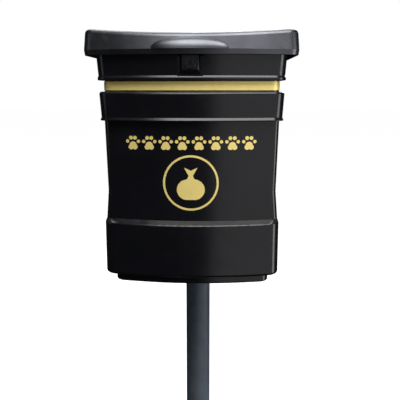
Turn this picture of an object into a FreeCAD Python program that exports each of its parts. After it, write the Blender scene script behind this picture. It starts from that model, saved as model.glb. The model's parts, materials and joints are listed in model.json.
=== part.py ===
import FreeCAD, Part
import math
import os
from collections import namedtuple
from types import SimpleNamespace

import Sketcher

# Post-mounted dog waste bin. +Z is up, the front faces -Y, and the origin is on the post's
# axis at the underside of the base plate. All sizes are in millimetres.

DIMENSIONS = {
    # plan of every moulded level: a bowed front between straight sides
    "bow_radius": 600,
    "wall": 4,
    "body_back": -44,
    # foot and plinth
    "foot_base": 593.5,
    "plinth_base": 610,
    "plinth_top": 715,
    "shelf_rise": 7,
    "foot_width": 308,
    "foot_front": -330,
    "foot_back": -60,
    "foot_corner": 22,
    "foot_round": 3,
    "drain_side": 80,
    "drain_front": -260,
    "drain_back": -130,
    "drain_radius": 5,
    "plinth_width": 347,
    "plinth_front": -346,
    "body_corner": 28,
    "plinth_base_round": 6,
    "plinth_top_round": 3,
    # recessed panel and the flare that meets the plinth
    "panel_front": -332,
    "panel_back": -50,
    "panel_corner": 15,
    "panel_low_width": 333,
    "panel_top_width": 341,
    "flare_top": 777,
    "flare_width": 342,
    # collar and neck
    "collar_base": 915.5,
    "collar_top": 971,
    "collar_low_width": 353,
    "collar_top_width": 359,
    "collar_low_front": -343,
    "collar_top_front": -346,
    "collar_base_round": 1.5,
    "collar_hem": 2,
    "collar_hem_slope": 4.5,
    "collar_hem_step": 2,
    "collar_top_round": 5,
    "neck_width": 338,
    "neck_front": -337,
    "neck_back": -58,
    "neck_corner": 24,
    "neck_top": 994,
    # gold band on the neck
    "band_base": 973.5,
    "band_top": 990,
    "band_thick": 1,
    "band_back": -80,
    # hood
    "hood_base": 992,
    "hood_top": 1062,
    "hood_low_width": 359,
    "hood_top_width": 368,
    "hood_low_front": -348,
    "hood_top_front": -352,
    "hood_back": -50,
    "hood_corner": 28,
    "hood_base_round": 2,
    "hood_hem": 5,
    "hood_hem_slope": 3.5,
    "hood_hem_step": 1.6,
    "mouth_width": 322,
    "mouth_front": -330,
    "mouth_back": -74,
    "mouth_corner": 20,
    # lid
    "lid_base": 1038,
    "lid_crease": 1048,
    "lid_centre_top": 1077,
    "lid_end_top": 1089,
    "lid_lip_width": 405.5,
    "lid_width": 408,
    "lid_top_width": 402,
    "lid_lip_front": -360.5,
    "lid_front": -363,
    "lid_top_front": -354,
    "lid_back": -32,
    "lid_corner": 27,
    "lid_inner_width": 398.5,
    "lid_inner_top_width": 390,
    "lid_inner_front": -356.5,
    "lid_inner_top_front": -348.5,
    "lid_inner_back": -36,
    "lid_top_round": 9,
    "lid_lip_round": 1.2,
    # finger pull on the lid's front
    "pull_centre": -352,
    "pull_reach": 19.5,
    "pull_half_width": 76,
    "pull_rise": 23,
    # hinges: the hood turns on the lower rod, the lid on the upper one
    "rod_radius": 4,
    "running_clearance": 0.06,
    "hood_axis_back": -42,
    "hood_axis_height": 983,
    "hood_barrel": 7.5,
    "lid_axis_back": -43,
    "lid_axis_height": 1044,
    "lid_barrel": 6,
    "knuckle_inner": 60,
    "knuckle_outer": 120,
    "fixed_knuckle": 14,
    "knuckle_gap": 1,
    "web_rise": 3,
    "hood_web_base": 4,
    "hood_web_top": 20,
    "rod_overhang": 5,
    "rod_cap_gap": 0.5,
    "rod_cap_radius": 6,
    "rod_cap_length": 6,
    # rubber buffers
    "lid_buffer_radius": 6,
    "lid_buffer_side": 130,
    "lid_buffer_front": -324,
    "lid_buffer_back": -64,
    "lid_buffer_height": 14.7,
    "hood_buffer_side": 24,
    "hood_buffer_length": 14,
    "hood_buffer_height": 2.7,
    "hood_buffer_edge": 0.6,
    "hood_buffer_width": 3.6,
    # lock in the hood's front
    "lock_height": 1023,
    "lock_width": 38,
    "lock_gap": 5,
    "lock_floor": -341,
    "lock_face": -351,
    "lock_edge": 5,
    "lock_side_bevel": 4,
    "lock_base_bevel": 7,
    "lock_top_bevel": 2,
    "lock_boss_half": 33,
    "lock_boss_base": 997,
    "lock_boss_front": -344.5,
    "lock_boss_back": -336,
    "lock_recess_depth": 10,
    "barrel_radius": 9.5,
    "barrel_gap": 0.1,
    "flange_radius": 11,
    "flange_thick": 1.5,
    "lock_nut_radius": 13.5,
    "lock_nut_thick": 4,
    "plug_radius": 6,
    "plug_stand": 1,
    "key_radius": 4.2,
    "key_depth": 6,
    "tail_radius": 4,
    "cam_gap": 0.2,
    "cam_front": -330.7,
    "cam_thick": 2.5,
    "cam_reach": 26,
    "cam_width": 12,
    "cam_hub": 9,
    "cam_washer_radius": 6.5,
    "cam_washer_thick": 1,
    "cam_screw_radius": 4.2,
    "cam_screw_height": 3.5,
    "keeper_front": -330.9,
    "keeper_thick": 4,
    "keeper_inner": 16,
    "keeper_stem": 30,
    "keeper_outer": 42,
    "keeper_base": 974,
    "keeper_lip_base": 1030,
    "keeper_lip_top": 1035,
    "keeper_screw_low": 985.5,
    "keeper_screw_high": 992,
    "keeper_screw_radius": 3,
    "keeper_screw_height": 1.2,
    # liner and its handle
    "liner_sheet": 1.2,
    "liner_base": 614,
    "liner_top": 982,
    "liner_low_width": 296,
    "liner_top_width": 304,
    "liner_low_front": -316,
    "liner_top_front": -321,
    "liner_low_back": -76,
    "liner_top_back": -70,
    "liner_corner": 24,
    "liner_base_round": 3,
    "hem_width": 4,
    "hem_height": 4,
    "handle_axis_back": -192,
    "handle_axis_height": 985.3,
    "handle_wire": 3,
    "handle_pin_gap": 0.08,
    "handle_pin_overhang": 6,
    "handle_side": 156,
    "handle_reach": 60,
    "handle_end_bend": 5,
    "handle_corner_bend": 14,
    "ear_width": 24,
    "ear_base": 950,
    "ear_thick": 2.5,
    "ear_gap": 0.5,
    "ear_crown": 10,
    "rivet_side": 7,
    "rivet_rise": 8,
    "rivet_radius": 2,
    "rivet_head": 4,
    "rivet_head_height": 1.5,
    "rivet_head_gap": 0.2,
    "grip_radius": 7,
    "grip_length": 110,
    # post and base
    "post_radius": 30.15,
    "post_wall": 3.2,
    "post_top": 905,
    "cap_thick": 4,
    "cap_round": 2.5,
    "cap_plug": 16,
    "cap_plug_gap": 0.1,
    "cap_plug_wall": 2.9,
    "plate_side": 280,
    "plate_thick": 10,
    "plate_corner": 22,
    "plate_round": 1.5,
    "plate_hole_radius": 7,
    "plate_hole_pitch": 210,
    "gusset_reach": 62,
    "gusset_rise": 90,
    "gusset_thick": 8,
    "gusset_gap": 0.15,
    "gusset_toe": 5,
    "gusset_crest": 6,
    # post clamps
    "upper_clamp": 860,
    "lower_clamp": 672,
    "clamp_height": 46,
    "clamp_bore": 30.2,
    "clamp_outer": 39,
    "clamp_split": 1,
    "clamp_ear": 8,
    "clamp_ear_reach": 66,
    "clamp_bolt_side": 53,
    "clamp_web_inner": 30,
    "clamp_web_outer": 38,
    "bracket_half_width": 84,
    "bracket_thick": 6,
    "mount_bolt_side": 66,
    "mount_pad_half": 92,
    "mount_pad_margin": 6,
    "bolt_radius": 4,
    "bolt_hole": 4.4,
    "bolt_head": 7.2,
    "bolt_head_height": 5.3,
    "bolt_nut_height": 6.5,
    "bolt_spare": 3,
    "backing_thick": 2,
    "backing_half_height": 16,
    # printed film on the panel
    "film_thick": 0.5,
    "film_gap": 0.05,
    "film_margin": 5,
    "ring_height": 797,
    "ring_radius": 54,
    "ring_line": 4,
    "paw_height": 875,
    "paw_pitch": 32,
}

# How far a cutting tool runs on past the material, and how far a joining piece is sunk in it.
PAST = 10
SUNK = 1

# The tied bag in the ring, from the ring's centre: its neck and knot as an outline, and its
# belly as discs, each with its offset across, its rise and its radius.
BAG_NECK = [(-12, -2), (12, -2), (4, 14), (13, 30), (0, 24), (-13, 30), (-4, 14)]
BAG_BELLY = [(0, -12, 21), (-7, -13, 20), (7, -13, 20)]

# One paw print, from its middle, as discs in the same way.
PAW_COUNT = 8
PAW_PAD = [(0, -5.6, 7), (-4, -9, 5), (4, -9, 5)]
PAW_TOES = [(-10.8, 1.7, 3.3), (-4.1, 8.5, 3.7), (4.1, 8.5, 3.7), (10.8, 1.7, 3.3)]


class Dim:
    """A size, as a number and as the expression that a property is bound to."""

    def __init__(self, value, text):
        self.value = value
        self.text = text

    def __add__(self, other):
        other = as_dim(other)
        return Dim(self.value + other.value, f"({self.text} + {other.text})")

    def __sub__(self, other):
        other = as_dim(other)
        return Dim(self.value - other.value, f"({self.text} - {other.text})")

    def __mul__(self, other):
        other = as_dim(other)
        return Dim(self.value * other.value, f"({self.text} * {other.text})")

    def __truediv__(self, other):
        other = as_dim(other)
        return Dim(self.value / other.value, f"({self.text} / {other.text})")

    def __neg__(self):
        return Dim(-self.value, f"(0 - {self.text})")

    def __rsub__(self, other):
        return as_dim(other) - self

    __radd__ = __add__
    __rmul__ = __mul__


def as_dim(size):
    """Wraps a plain number, so that sizes and numbers can be mixed."""
    return size if isinstance(size, Dim) else Dim(float(size), repr(float(size)))


# A level of a moulding: its height and its bowed outline in plan.
Level = namedtuple("Level", "height width front back corner")

doc = FreeCAD.newDocument("dog_waste_bin")
sheet = doc.addObject("Spreadsheet::Sheet", "dims")
for row, (alias, number) in enumerate(DIMENSIONS.items(), start=1):
    sheet.set(f"A{row}", alias)
    sheet.set(f"B{row}", str(number))
    sheet.setAlias(f"B{row}", alias)
doc.recompute()

d = SimpleNamespace(**{name: Dim(float(mm), f"dims.{name}") for name, mm in DIMENSIONS.items()})
nodes = {}

UP = FreeCAD.Rotation()
ALONG_X = FreeCAD.Rotation(FreeCAD.Vector(0, 1, 0), 90)
ALONG_Y = FreeCAD.Rotation(FreeCAD.Vector(1, 0, 0), -90)
TOWARDS_FRONT = FreeCAD.Rotation(FreeCAD.Vector(1, 0, 0), 90)


def bind(obj, path, size):
    obj.setExpression(path, as_dim(size).text)


def node(name, obj):
    """Names a finished sub-part."""
    obj.Label = name
    nodes[name] = obj
    return obj


# ---------------------------------------------------------------- sketches


def new_body(name):
    return doc.addObject("PartDesign::Body", name)


def sketch_on(body, role, offset):
    """A sketch on one of the body's own origin planes, moved along that plane's normal."""
    sketch = body.newObject("Sketcher::SketchObject", "Profile")
    plane = next(item for item in body.Origin.OriginFeatures if item.Role == role)
    sketch.AttachmentSupport = [(plane, "")]
    sketch.MapMode = "FlatFace"
    bind(sketch, "AttachmentOffset.Base.z", offset)
    return sketch


def constrain(sketch, *arguments, size=None):
    """Adds one constraint, and binds its value when it has a size."""
    if size is None:
        sketch.addConstraint(Sketcher.Constraint(*arguments))
        return
    index = sketch.addConstraint(Sketcher.Constraint(*arguments, size.value))
    sketch.setExpression(f"Constraints[{index}]", size.text)


def locate(sketch, direction, item, point, size):
    """Fixes one coordinate of a sketch point, measured from the sketch's origin."""
    size = as_dim(size)
    if size.value == 0:
        constrain(sketch, "PointOnObject", item, point, -2 if direction == "DistanceX" else -1)
    elif size.value > 0:
        constrain(sketch, direction, -1, 1, item, point, size=size)
    else:
        constrain(sketch, direction, item, point, -1, 1, size=-size)


def polygon(sketch, points):
    """A closed outline of straight lines through points given as pairs of sizes."""
    first = sketch.GeometryCount
    corners = [FreeCAD.Vector(as_dim(u).value, as_dim(v).value, 0) for u, v in points]
    count = len(points)
    for k in range(count):
        sketch.addGeometry(Part.LineSegment(corners[k], corners[(k + 1) % count]))
    for k in range(count):
        constrain(sketch, "Coincident", first + k, 2, first + (k + 1) % count, 1)
    for k, (u, v) in enumerate(points):
        locate(sketch, "DistanceX", first + k, 1, u)
        locate(sketch, "DistanceY", first + k, 1, v)


def rectangle(sketch, u_low, u_high, v_low, v_high):
    polygon(sketch, [(u_low, v_low), (u_high, v_low), (u_high, v_high), (u_low, v_high)])


def circle(sketch, u, v, radius):
    centre = FreeCAD.Vector(as_dim(u).value, as_dim(v).value, 0)
    shape = Part.Circle(centre, FreeCAD.Vector(0, 0, 1), as_dim(radius).value)
    item = sketch.addGeometry(shape)
    constrain(sketch, "Radius", item, size=as_dim(radius))
    locate(sketch, "DistanceX", item, 3, u)
    locate(sketch, "DistanceY", item, 3, v)


def arc(sketch, x, y, radius, start, end):
    base = Part.Circle(FreeCAD.Vector(x, y, 0), FreeCAD.Vector(0, 0, 1), radius)
    sketch.addGeometry(Part.ArcOfCircle(base, start, end))


def bowed_outline(sketch, level):
    """The plan of one level: bowed front, straight sides and back, four rounded corners.

    The bow's centre is on the Y axis. A front corner touches the bow from inside, so its
    centre is the bow's radius less its own from the bow's centre.
    """
    bow = d.bow_radius.value
    corner = level.corner.value
    half = level.width.value / 2
    back = level.back.value
    bow_y = level.front.value + bow
    corner_x = half - corner
    corner_y = bow_y - math.sqrt((bow - corner) ** 2 - corner_x ** 2)
    swing = math.atan2(corner_x, bow_y - corner_y)
    down = -math.pi / 2
    arc(sketch, 0, bow_y, bow, down - swing, down + swing)
    arc(sketch, corner_x, corner_y, corner, down + swing, 0)
    sketch.addGeometry(Part.LineSegment(FreeCAD.Vector(half, corner_y, 0),
                                        FreeCAD.Vector(half, back - corner, 0)))
    arc(sketch, corner_x, back - corner, corner, 0, math.pi / 2)
    sketch.addGeometry(Part.LineSegment(FreeCAD.Vector(corner_x, back, 0),
                                        FreeCAD.Vector(-corner_x, back, 0)))
    arc(sketch, -corner_x, back - corner, corner, math.pi / 2, math.pi)
    sketch.addGeometry(Part.LineSegment(FreeCAD.Vector(-half, back - corner, 0),
                                        FreeCAD.Vector(-half, corner_y, 0)))
    arc(sketch, -corner_x, corner_y, corner, math.pi, 1.5 * math.pi - swing)
    for item in range(8):
        constrain(sketch, "Tangent", item, 2, (item + 1) % 8, 1)
    constrain(sketch, "Vertical", 2)
    constrain(sketch, "Horizontal", 4)
    constrain(sketch, "Vertical", 6)
    constrain(sketch, "PointOnObject", 0, 3, -2)
    constrain(sketch, "Radius", 0, size=d.bow_radius)
    locate(sketch, "DistanceY", 0, 3, level.front + d.bow_radius)
    for item in (1, 3, 5, 7):
        constrain(sketch, "Radius", item, size=level.corner)
    locate(sketch, "DistanceX", 2, 1, level.width / 2)
    locate(sketch, "DistanceX", 6, 1, -(level.width / 2))
    locate(sketch, "DistanceY", 4, 1, level.back)


# ---------------------------------------------------------------- body features


def pad(body, sketch, length, symmetric=False):
    feature = body.newObject("PartDesign::Pad", "Pad")
    feature.Profile = sketch
    feature.SideType = "Symmetric" if symmetric else "One side"
    bind(feature, "Length", length)


def pocket(body, sketch, length):
    """Cuts half of the length to each side of its sketch."""
    feature = body.newObject("PartDesign::Pocket", "Pocket")
    feature.Profile = sketch
    feature.SideType = "Symmetric"
    bind(feature, "Length", length)


def loft(body, kind, low, high):
    """Joins two levels with straight walls, as added or removed material."""
    outlines = []
    for level in (low, high):
        sketch = sketch_on(body, "XY_Plane", level.height)
        bowed_outline(sketch, level)
        outlines.append(sketch)
    ruled_loft(body, kind, outlines)


def ruled_loft(body, kind, sketches):
    feature = body.newObject(f"PartDesign::{kind}Loft", f"{kind}Loft")
    feature.Profile = sketches[0]
    feature.Sections = sketches[1:]
    feature.Ruled = True


def add_block(body, low, high):
    loft(body, "Additive", low, high)


def cut_block(body, low, high):
    loft(body, "Subtractive", low, high)


def inset(level, wall, height=None):
    """The level seen from inside a wall of the given thickness."""
    return Level(level.height if height is None else height, level.width - 2 * wall,
                 level.front + wall, level.back - wall, level.corner - wall)


def outer_loop(shape, height):
    """The names of the edges of the widest closed outline at one height."""
    level = [(f"Edge{k}", edge) for k, edge in enumerate(shape.Edges, start=1)
             if abs(edge.BoundBox.ZMin - height) < 0.01 and abs(edge.BoundBox.ZMax - height) < 0.01]
    loops = Part.sortEdges([edge for _, edge in level])
    widest = max(loops, key=lambda loop: Part.Wire(loop).BoundBox.XLength)
    return [name for name, edge in level if any(edge.isSame(member) for member in widest)]


def top_face_edges(shape):
    """The names of the edges around the highest face."""
    top = max(shape.Faces, key=lambda face: face.CenterOfMass.z)
    return [f"Edge{k}" for k, edge in enumerate(shape.Edges, start=1)
            if any(edge.isSame(member) for member in top.OuterWire.Edges)]


def fillet(body, radius, edge_names):
    base = body.Tip
    feature = body.newObject("PartDesign::Fillet", "Fillet")
    feature.Base = (base, edge_names)
    bind(feature, "Radius", radius)
    doc.recompute()


def fillet_loop(body, height, radius):
    """Rounds the widest outline at one height."""
    doc.recompute()
    fillet(body, radius, outer_loop(body.Tip.Shape, height.value))


def upper_ellipsoid(body, kind, centre, reach, half_width, rise):
    """The upper half of an ellipsoid. The centre is given as its Y and Z."""
    feature = body.newObject(f"PartDesign::{kind}Ellipsoid", f"{kind}Ellipsoid")
    plane = next(item for item in body.Origin.OriginFeatures if item.Role == "XY_Plane")
    feature.AttachmentSupport = [(plane, "")]
    feature.MapMode = "FlatFace"
    feature.Angle1 = 0
    feature.Angle2 = 90
    bind(feature, "AttachmentOffset.Base.y", centre[0])
    bind(feature, "AttachmentOffset.Base.z", centre[1])
    bind(feature, "Radius1", rise)
    bind(feature, "Radius2", half_width)
    bind(feature, "Radius3", reach)


def mirrored(side, near, far):
    """The lower X of a span from near to far of the middle, on the given side."""
    return near if side > 0 else -far


def knuckle(body, side, start, width, axis_y, axis_z, barrel, web_y, web_z):
    """A hinge knuckle: a barrel round the rod and a web that joins it to a wall.

    The web is the (low, high) pair in Y and in Z. start is the end nearer the middle.
    """
    low = mirrored(side, start, start + width)
    for draw in ("barrel", "web"):
        sketch = sketch_on(body, "YZ_Plane", low)
        if draw == "barrel":
            circle(sketch, axis_y, axis_z, barrel)
        else:
            rectangle(sketch, web_y[0], web_y[1], web_z[0], web_z[1])
        pad(body, sketch, width)


def middle_knuckle():
    """The start and the width of the knuckle that turns between two fixed ones."""
    start = d.knuckle_inner + d.fixed_knuckle + d.knuckle_gap
    return start, d.knuckle_outer - d.fixed_knuckle - d.knuckle_gap - start


def hinge_bore(body, axis_y, axis_z):
    """Drills every knuckle of the body on one hinge line."""
    sketch = sketch_on(body, "YZ_Plane", 0)
    circle(sketch, axis_y, axis_z, d.rod_radius + d.running_clearance)
    pocket(body, sketch, 2 * (d.knuckle_outer + PAST))


# ---------------------------------------------------------------- solid primitives


def place(obj, rotation, x, y, z):
    obj.Placement = FreeCAD.Placement(FreeCAD.Vector(), rotation)
    for axis, size in (("x", x), ("y", y), ("z", z)):
        bind(obj, f"Placement.Base.{axis}", size)
    return obj


def rod(rotation, x, y, z, radius, length):
    obj = doc.addObject("Part::Cylinder", "Rod")
    bind(obj, "Radius", radius)
    bind(obj, "Height", length)
    return place(obj, rotation, x, y, z)


def drill(rotation, x, y, z, radius, length):
    """A tool for a round hole, run on past both ends of its length."""
    back = rotation.multVec(FreeCAD.Vector(0, 0, -PAST))
    return rod(rotation, x + round(back.x), y + round(back.y), z + round(back.z), radius,
               length + 2 * PAST)


def prism(rotation, x, y, z, circumradius, length, sides=6):
    obj = doc.addObject("Part::Prism", "Prism")
    obj.Polygon = sides
    bind(obj, "Circumradius", circumradius)
    bind(obj, "Height", length)
    return place(obj, rotation, x, y, z)


def box(x, y, z):
    """A block between the (low, high) pairs of its three directions."""
    obj = doc.addObject("Part::Box", "Block")
    for prop, (low, high) in (("Length", x), ("Width", y), ("Height", z)):
        bind(obj, prop, as_dim(high) - low)
    return place(obj, UP, x[0], y[0], z[0])


def elbow(x, y, z, bend, wire, start_angle):
    """A quarter bend of round wire lying flat. Its first end is at start_angle."""
    obj = doc.addObject("Part::Torus", "Elbow")
    obj.Angle3 = 90
    bind(obj, "Radius1", bend)
    bind(obj, "Radius2", wire)
    return place(obj, FreeCAD.Rotation(FreeCAD.Vector(0, 0, 1), start_angle), x, y, z)


def fuse(*shapes):
    obj = doc.addObject("Part::MultiFuse", "Joined")
    obj.Shapes = list(shapes)
    return obj


def cut(base, *tools):
    obj = doc.addObject("Part::Cut", "Cut")
    obj.Base = base
    obj.Tool = tools[0] if len(tools) == 1 else fuse(*tools)
    return obj


def common(first, second):
    obj = doc.addObject("Part::Common", "Common")
    obj.Base = first
    obj.Tool = second
    return obj


def group(name, shapes):
    """Several separate solids as one node."""
    obj = doc.addObject("Part::Compound", "Group")
    obj.Links = list(shapes)
    return node(name, obj)


# ---------------------------------------------------------------- levels of the mouldings

foot_low = Level(d.foot_base, d.foot_width, d.foot_front, d.foot_back, d.foot_corner)
foot_high = foot_low._replace(height=d.plinth_base)
plinth_low = Level(d.plinth_base, d.plinth_width, d.plinth_front, d.body_back, d.body_corner)
plinth_high = plinth_low._replace(height=d.plinth_top)
flare_low = Level(d.plinth_top + d.shelf_rise, d.flare_width, d.panel_front, d.panel_back,
                  d.panel_corner)
flare_high = flare_low._replace(height=d.flare_top, width=d.panel_low_width)
panel_high = flare_low._replace(height=d.collar_base, width=d.panel_top_width)
collar_low = Level(d.collar_base, d.collar_low_width, d.collar_low_front, d.body_back,
                   d.body_corner)
collar_high = Level(d.collar_top, d.collar_top_width, d.collar_top_front, d.body_back,
                    d.body_corner)
neck_low = Level(d.collar_top, d.neck_width, d.neck_front, d.neck_back, d.neck_corner)
neck_high = neck_low._replace(height=d.neck_top)
hood_low = Level(d.hood_base, d.hood_low_width, d.hood_low_front, d.hood_back, d.hood_corner)
hood_high = Level(d.hood_top, d.hood_top_width, d.hood_top_front, d.hood_back, d.hood_corner)
lip_low = Level(d.lid_base, d.lid_lip_width, d.lid_lip_front, d.lid_back, d.lid_corner)
lid_low = Level(d.lid_crease, d.lid_width, d.lid_front, d.lid_back, d.lid_corner)
lid_high = Level(d.lid_end_top + PAST, d.lid_top_width, d.lid_top_front, d.lid_back,
                 d.lid_corner)
liner_low = Level(d.liner_base, d.liner_low_width, d.liner_low_front, d.liner_low_back,
                  d.liner_corner)
liner_high = Level(d.liner_top, d.liner_top_width, d.liner_top_front, d.liner_top_back,
                   d.liner_corner)


# ---------------------------------------------------------------- body


def clamp_heights():
    return (d.upper_clamp, d.lower_clamp)


def mount_bolt_places():
    """The X and Z of the four bolts that hold the body to its brackets."""
    return [(side * d.mount_bolt_side, height) for height in clamp_heights() for side in (-1, 1)]


def add_hem(body, level, height, slope, step, rounding):
    """A thickened hem below a wall: an upright band, then a slope that runs in to the wall."""
    low = inset(level, -step)
    high = low._replace(height=level.height + height)
    add_block(body, low, high)
    fillet_loop(body, level.height, rounding)
    add_block(body, high, level._replace(height=level.height + height + slope))


def make_body_shell():
    """The moulded body: foot, plinth, flared panel, collar and neck, open at the top."""
    body = new_body("BodyShell")
    add_block(body, plinth_low, plinth_high)
    add_block(body, foot_low, foot_high)
    fillet_loop(body, d.plinth_base, d.plinth_base_round)
    fillet_loop(body, d.foot_base, d.foot_round)
    add_block(body, plinth_high, flare_low)
    fillet_loop(body, d.plinth_top, d.plinth_top_round)
    add_block(body, flare_low, flare_high)
    add_block(body, flare_high, panel_high)
    add_hem(body, collar_low, d.collar_hem, d.collar_hem_slope, d.collar_hem_step,
            d.collar_base_round)
    add_block(body, collar_low._replace(height=d.collar_base + d.collar_hem + d.collar_hem_slope),
              collar_high)
    fillet_loop(body, d.collar_top, d.collar_top_round)
    add_block(body, neck_low, neck_high)

    # raised pads at the back, where the upper bracket bolts on
    pad_half = d.clamp_height / 2 + d.mount_pad_margin
    sketch = sketch_on(body, "XY_Plane", d.upper_clamp - pad_half)
    rectangle(sketch, -d.mount_pad_half, d.mount_pad_half, d.panel_back - SUNK, d.body_back)
    pad(body, sketch, 2 * pad_half)

    # the hollow follows the outside, one wall in
    floor_top = d.foot_base + d.wall
    plinth_floor = d.plinth_base + d.wall
    shelf_inside = d.plinth_top - d.wall
    collar_floor = d.collar_base + d.wall
    collar_roof = d.collar_top - d.wall
    cut_block(body, inset(foot_low, d.wall, floor_top), inset(foot_high, d.wall, plinth_floor))
    cut_block(body, inset(plinth_low, d.wall, plinth_floor),
              inset(plinth_high, d.wall, shelf_inside))
    straight = flare_high._replace(height=shelf_inside)
    cut_block(body, inset(straight, d.wall), inset(flare_high, d.wall, d.flare_top))
    cut_block(body, inset(flare_high, d.wall), inset(panel_high, d.wall, collar_floor))
    cut_block(body, inset(collar_low, d.wall, collar_floor),
              inset(collar_high, d.wall, collar_roof))
    cut_block(body, inset(neck_low, d.wall, collar_roof), inset(neck_high, d.wall))

    # knuckles for the hood's hinge, on the back of the neck
    for side in (-1, 1):
        for start in (d.knuckle_inner, d.knuckle_outer - d.fixed_knuckle):
            knuckle(body, side, start, d.fixed_knuckle, d.hood_axis_back, d.hood_axis_height,
                    d.hood_barrel, (d.neck_back - SUNK, d.hood_axis_back),
                    (d.hood_axis_height - d.hood_barrel, d.hood_axis_height + d.web_rise))
    hinge_bore(body, d.hood_axis_back, d.hood_axis_height)

    # bolt holes through the back, drain holes through the foot
    sketch = sketch_on(body, "XZ_Plane", -d.body_back)
    for x, z in mount_bolt_places():
        circle(sketch, x, z, d.bolt_hole)
    pocket(body, sketch, 2 * (d.wall + PAST))
    sketch = sketch_on(body, "XY_Plane", d.foot_base)
    for x in (-d.drain_side, d.drain_side):
        for y in (d.drain_front, d.drain_back):
            circle(sketch, x, y, d.drain_radius)
    pocket(body, sketch, 2 * (d.wall + PAST))
    return node("body_shell", body)


def make_gold_band():
    """A strip wrapped round the neck's front and sides."""
    body = new_body("GoldBand")
    height = d.band_top - d.band_base
    sketch = sketch_on(body, "XY_Plane", d.band_base)
    bowed_outline(sketch, inset(neck_low, -d.band_thick))
    pad(body, sketch, height)
    sketch = sketch_on(body, "XY_Plane", d.band_base)
    bowed_outline(sketch, neck_low)
    pocket(body, sketch, 2 * (height + PAST))
    sketch = sketch_on(body, "XY_Plane", d.band_base)
    rectangle(sketch, -d.neck_width, d.neck_width, d.band_back, d.neck_back + PAST)
    pocket(body, sketch, 2 * (height + PAST))
    return node("gold_band", body)


# ---------------------------------------------------------------- hood


def make_hood():
    """The hood: four walls, an inner flange round the mouth, the lock boss and knuckles."""
    body = new_body("Hood")
    add_hem(body, hood_low, d.hood_hem, d.hood_hem_slope, d.hood_hem_step, d.hood_base_round)
    add_block(body, hood_low._replace(height=d.hood_base + d.hood_hem + d.hood_hem_slope),
              hood_high)
    cut_block(body, inset(hood_low, d.wall), inset(hood_high, d.wall, d.hood_top - d.wall))
    mouth = Level(d.hood_top, d.mouth_width, d.mouth_front, d.mouth_back, d.mouth_corner)
    sketch = sketch_on(body, "XY_Plane", d.hood_top)
    bowed_outline(sketch, mouth)
    pocket(body, sketch, 2 * (d.wall + PAST))

    # boss behind the lock, recessed from outside so that the lock block stands in it
    boss_top = d.hood_top - d.wall / 2
    sketch = sketch_on(body, "XY_Plane", d.lock_boss_base)
    rectangle(sketch, -d.lock_boss_half, d.lock_boss_half, d.lock_boss_front, d.lock_boss_back)
    pad(body, sketch, boss_top - d.lock_boss_base)
    recess_half = d.lock_width / 2 + d.lock_gap
    sketch = sketch_on(body, "XZ_Plane", -(d.lock_floor - d.lock_recess_depth))
    rectangle(sketch, -recess_half, recess_half, d.lock_height - recess_half,
              d.lock_height + recess_half)
    pocket(body, sketch, 2 * d.lock_recess_depth)
    sketch = sketch_on(body, "XZ_Plane", -d.lock_boss_back)
    circle(sketch, 0, d.lock_height, d.barrel_radius + d.barrel_gap)
    pocket(body, sketch, 2 * PAST)

    # knuckles: the lower ones turn on the body's rod, the upper ones carry the lid's rod
    wall_back = d.hood_back - 2 * SUNK
    inner, middle_width = middle_knuckle()
    for side in (-1, 1):
        knuckle(body, side, inner, middle_width, d.hood_axis_back, d.hood_axis_height,
                d.hood_barrel, (wall_back, d.hood_axis_back + 2 * SUNK),
                (d.hood_axis_height + d.hood_web_base, d.hood_axis_height + d.hood_web_top))
        for start in (d.knuckle_inner, d.knuckle_outer - d.fixed_knuckle):
            knuckle(body, side, start, d.fixed_knuckle, d.lid_axis_back, d.lid_axis_height,
                    d.lid_barrel, (wall_back, d.lid_axis_back),
                    (d.lid_axis_height - d.lid_barrel, d.lid_axis_height + d.lid_barrel))
    hinge_bore(body, d.hood_axis_back, d.hood_axis_height)
    hinge_bore(body, d.lid_axis_back, d.lid_axis_height)
    return node("hood", body)


# ---------------------------------------------------------------- lid


def dished_profile(sketch, half_width, flat, end_top, centre_top):
    """The area between a level line and an arc that dips in the middle."""
    span = half_width.value
    dip = end_top.value - centre_top.value
    radius = (span ** 2 + dip ** 2) / (2 * dip)
    swing = math.asin(span / radius)
    corners = [FreeCAD.Vector(side * span, height.value, 0)
               for side, height in ((-1, flat), (1, flat), (1, end_top), (-1, end_top))]
    sketch.addGeometry(Part.LineSegment(corners[0], corners[1]))
    sketch.addGeometry(Part.LineSegment(corners[1], corners[2]))
    arc(sketch, 0, centre_top.value + radius, radius, 1.5 * math.pi - swing, 1.5 * math.pi + swing)
    sketch.addGeometry(Part.LineSegment(corners[3], corners[0]))
    constrain(sketch, "Coincident", 0, 2, 1, 1)
    constrain(sketch, "Coincident", 1, 2, 2, 2)
    constrain(sketch, "Coincident", 2, 1, 3, 1)
    constrain(sketch, "Coincident", 3, 2, 0, 1)
    for item, point, u, v in ((0, 1, -half_width, flat), (0, 2, half_width, flat),
                              (2, 1, -half_width, end_top), (2, 2, half_width, end_top)):
        locate(sketch, "DistanceX", item, point, u)
        locate(sketch, "DistanceY", item, point, v)
    drop = end_top - centre_top
    constrain(sketch, "Radius", 2, size=(half_width * half_width + drop * drop) / (2 * drop))


def cut_dish(body, end_top, centre_top):
    """Cuts the body's top to a shallow dish that runs from front to back."""
    sketch = sketch_on(body, "XZ_Plane", -((d.lid_front + d.lid_back) / 2))
    dished_profile(sketch, d.lid_width / 2 + PAST, d.lid_end_top + 2 * PAST, end_top, centre_top)
    pocket(body, sketch, 2 * d.lid_width)
    doc.recompute()


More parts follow.
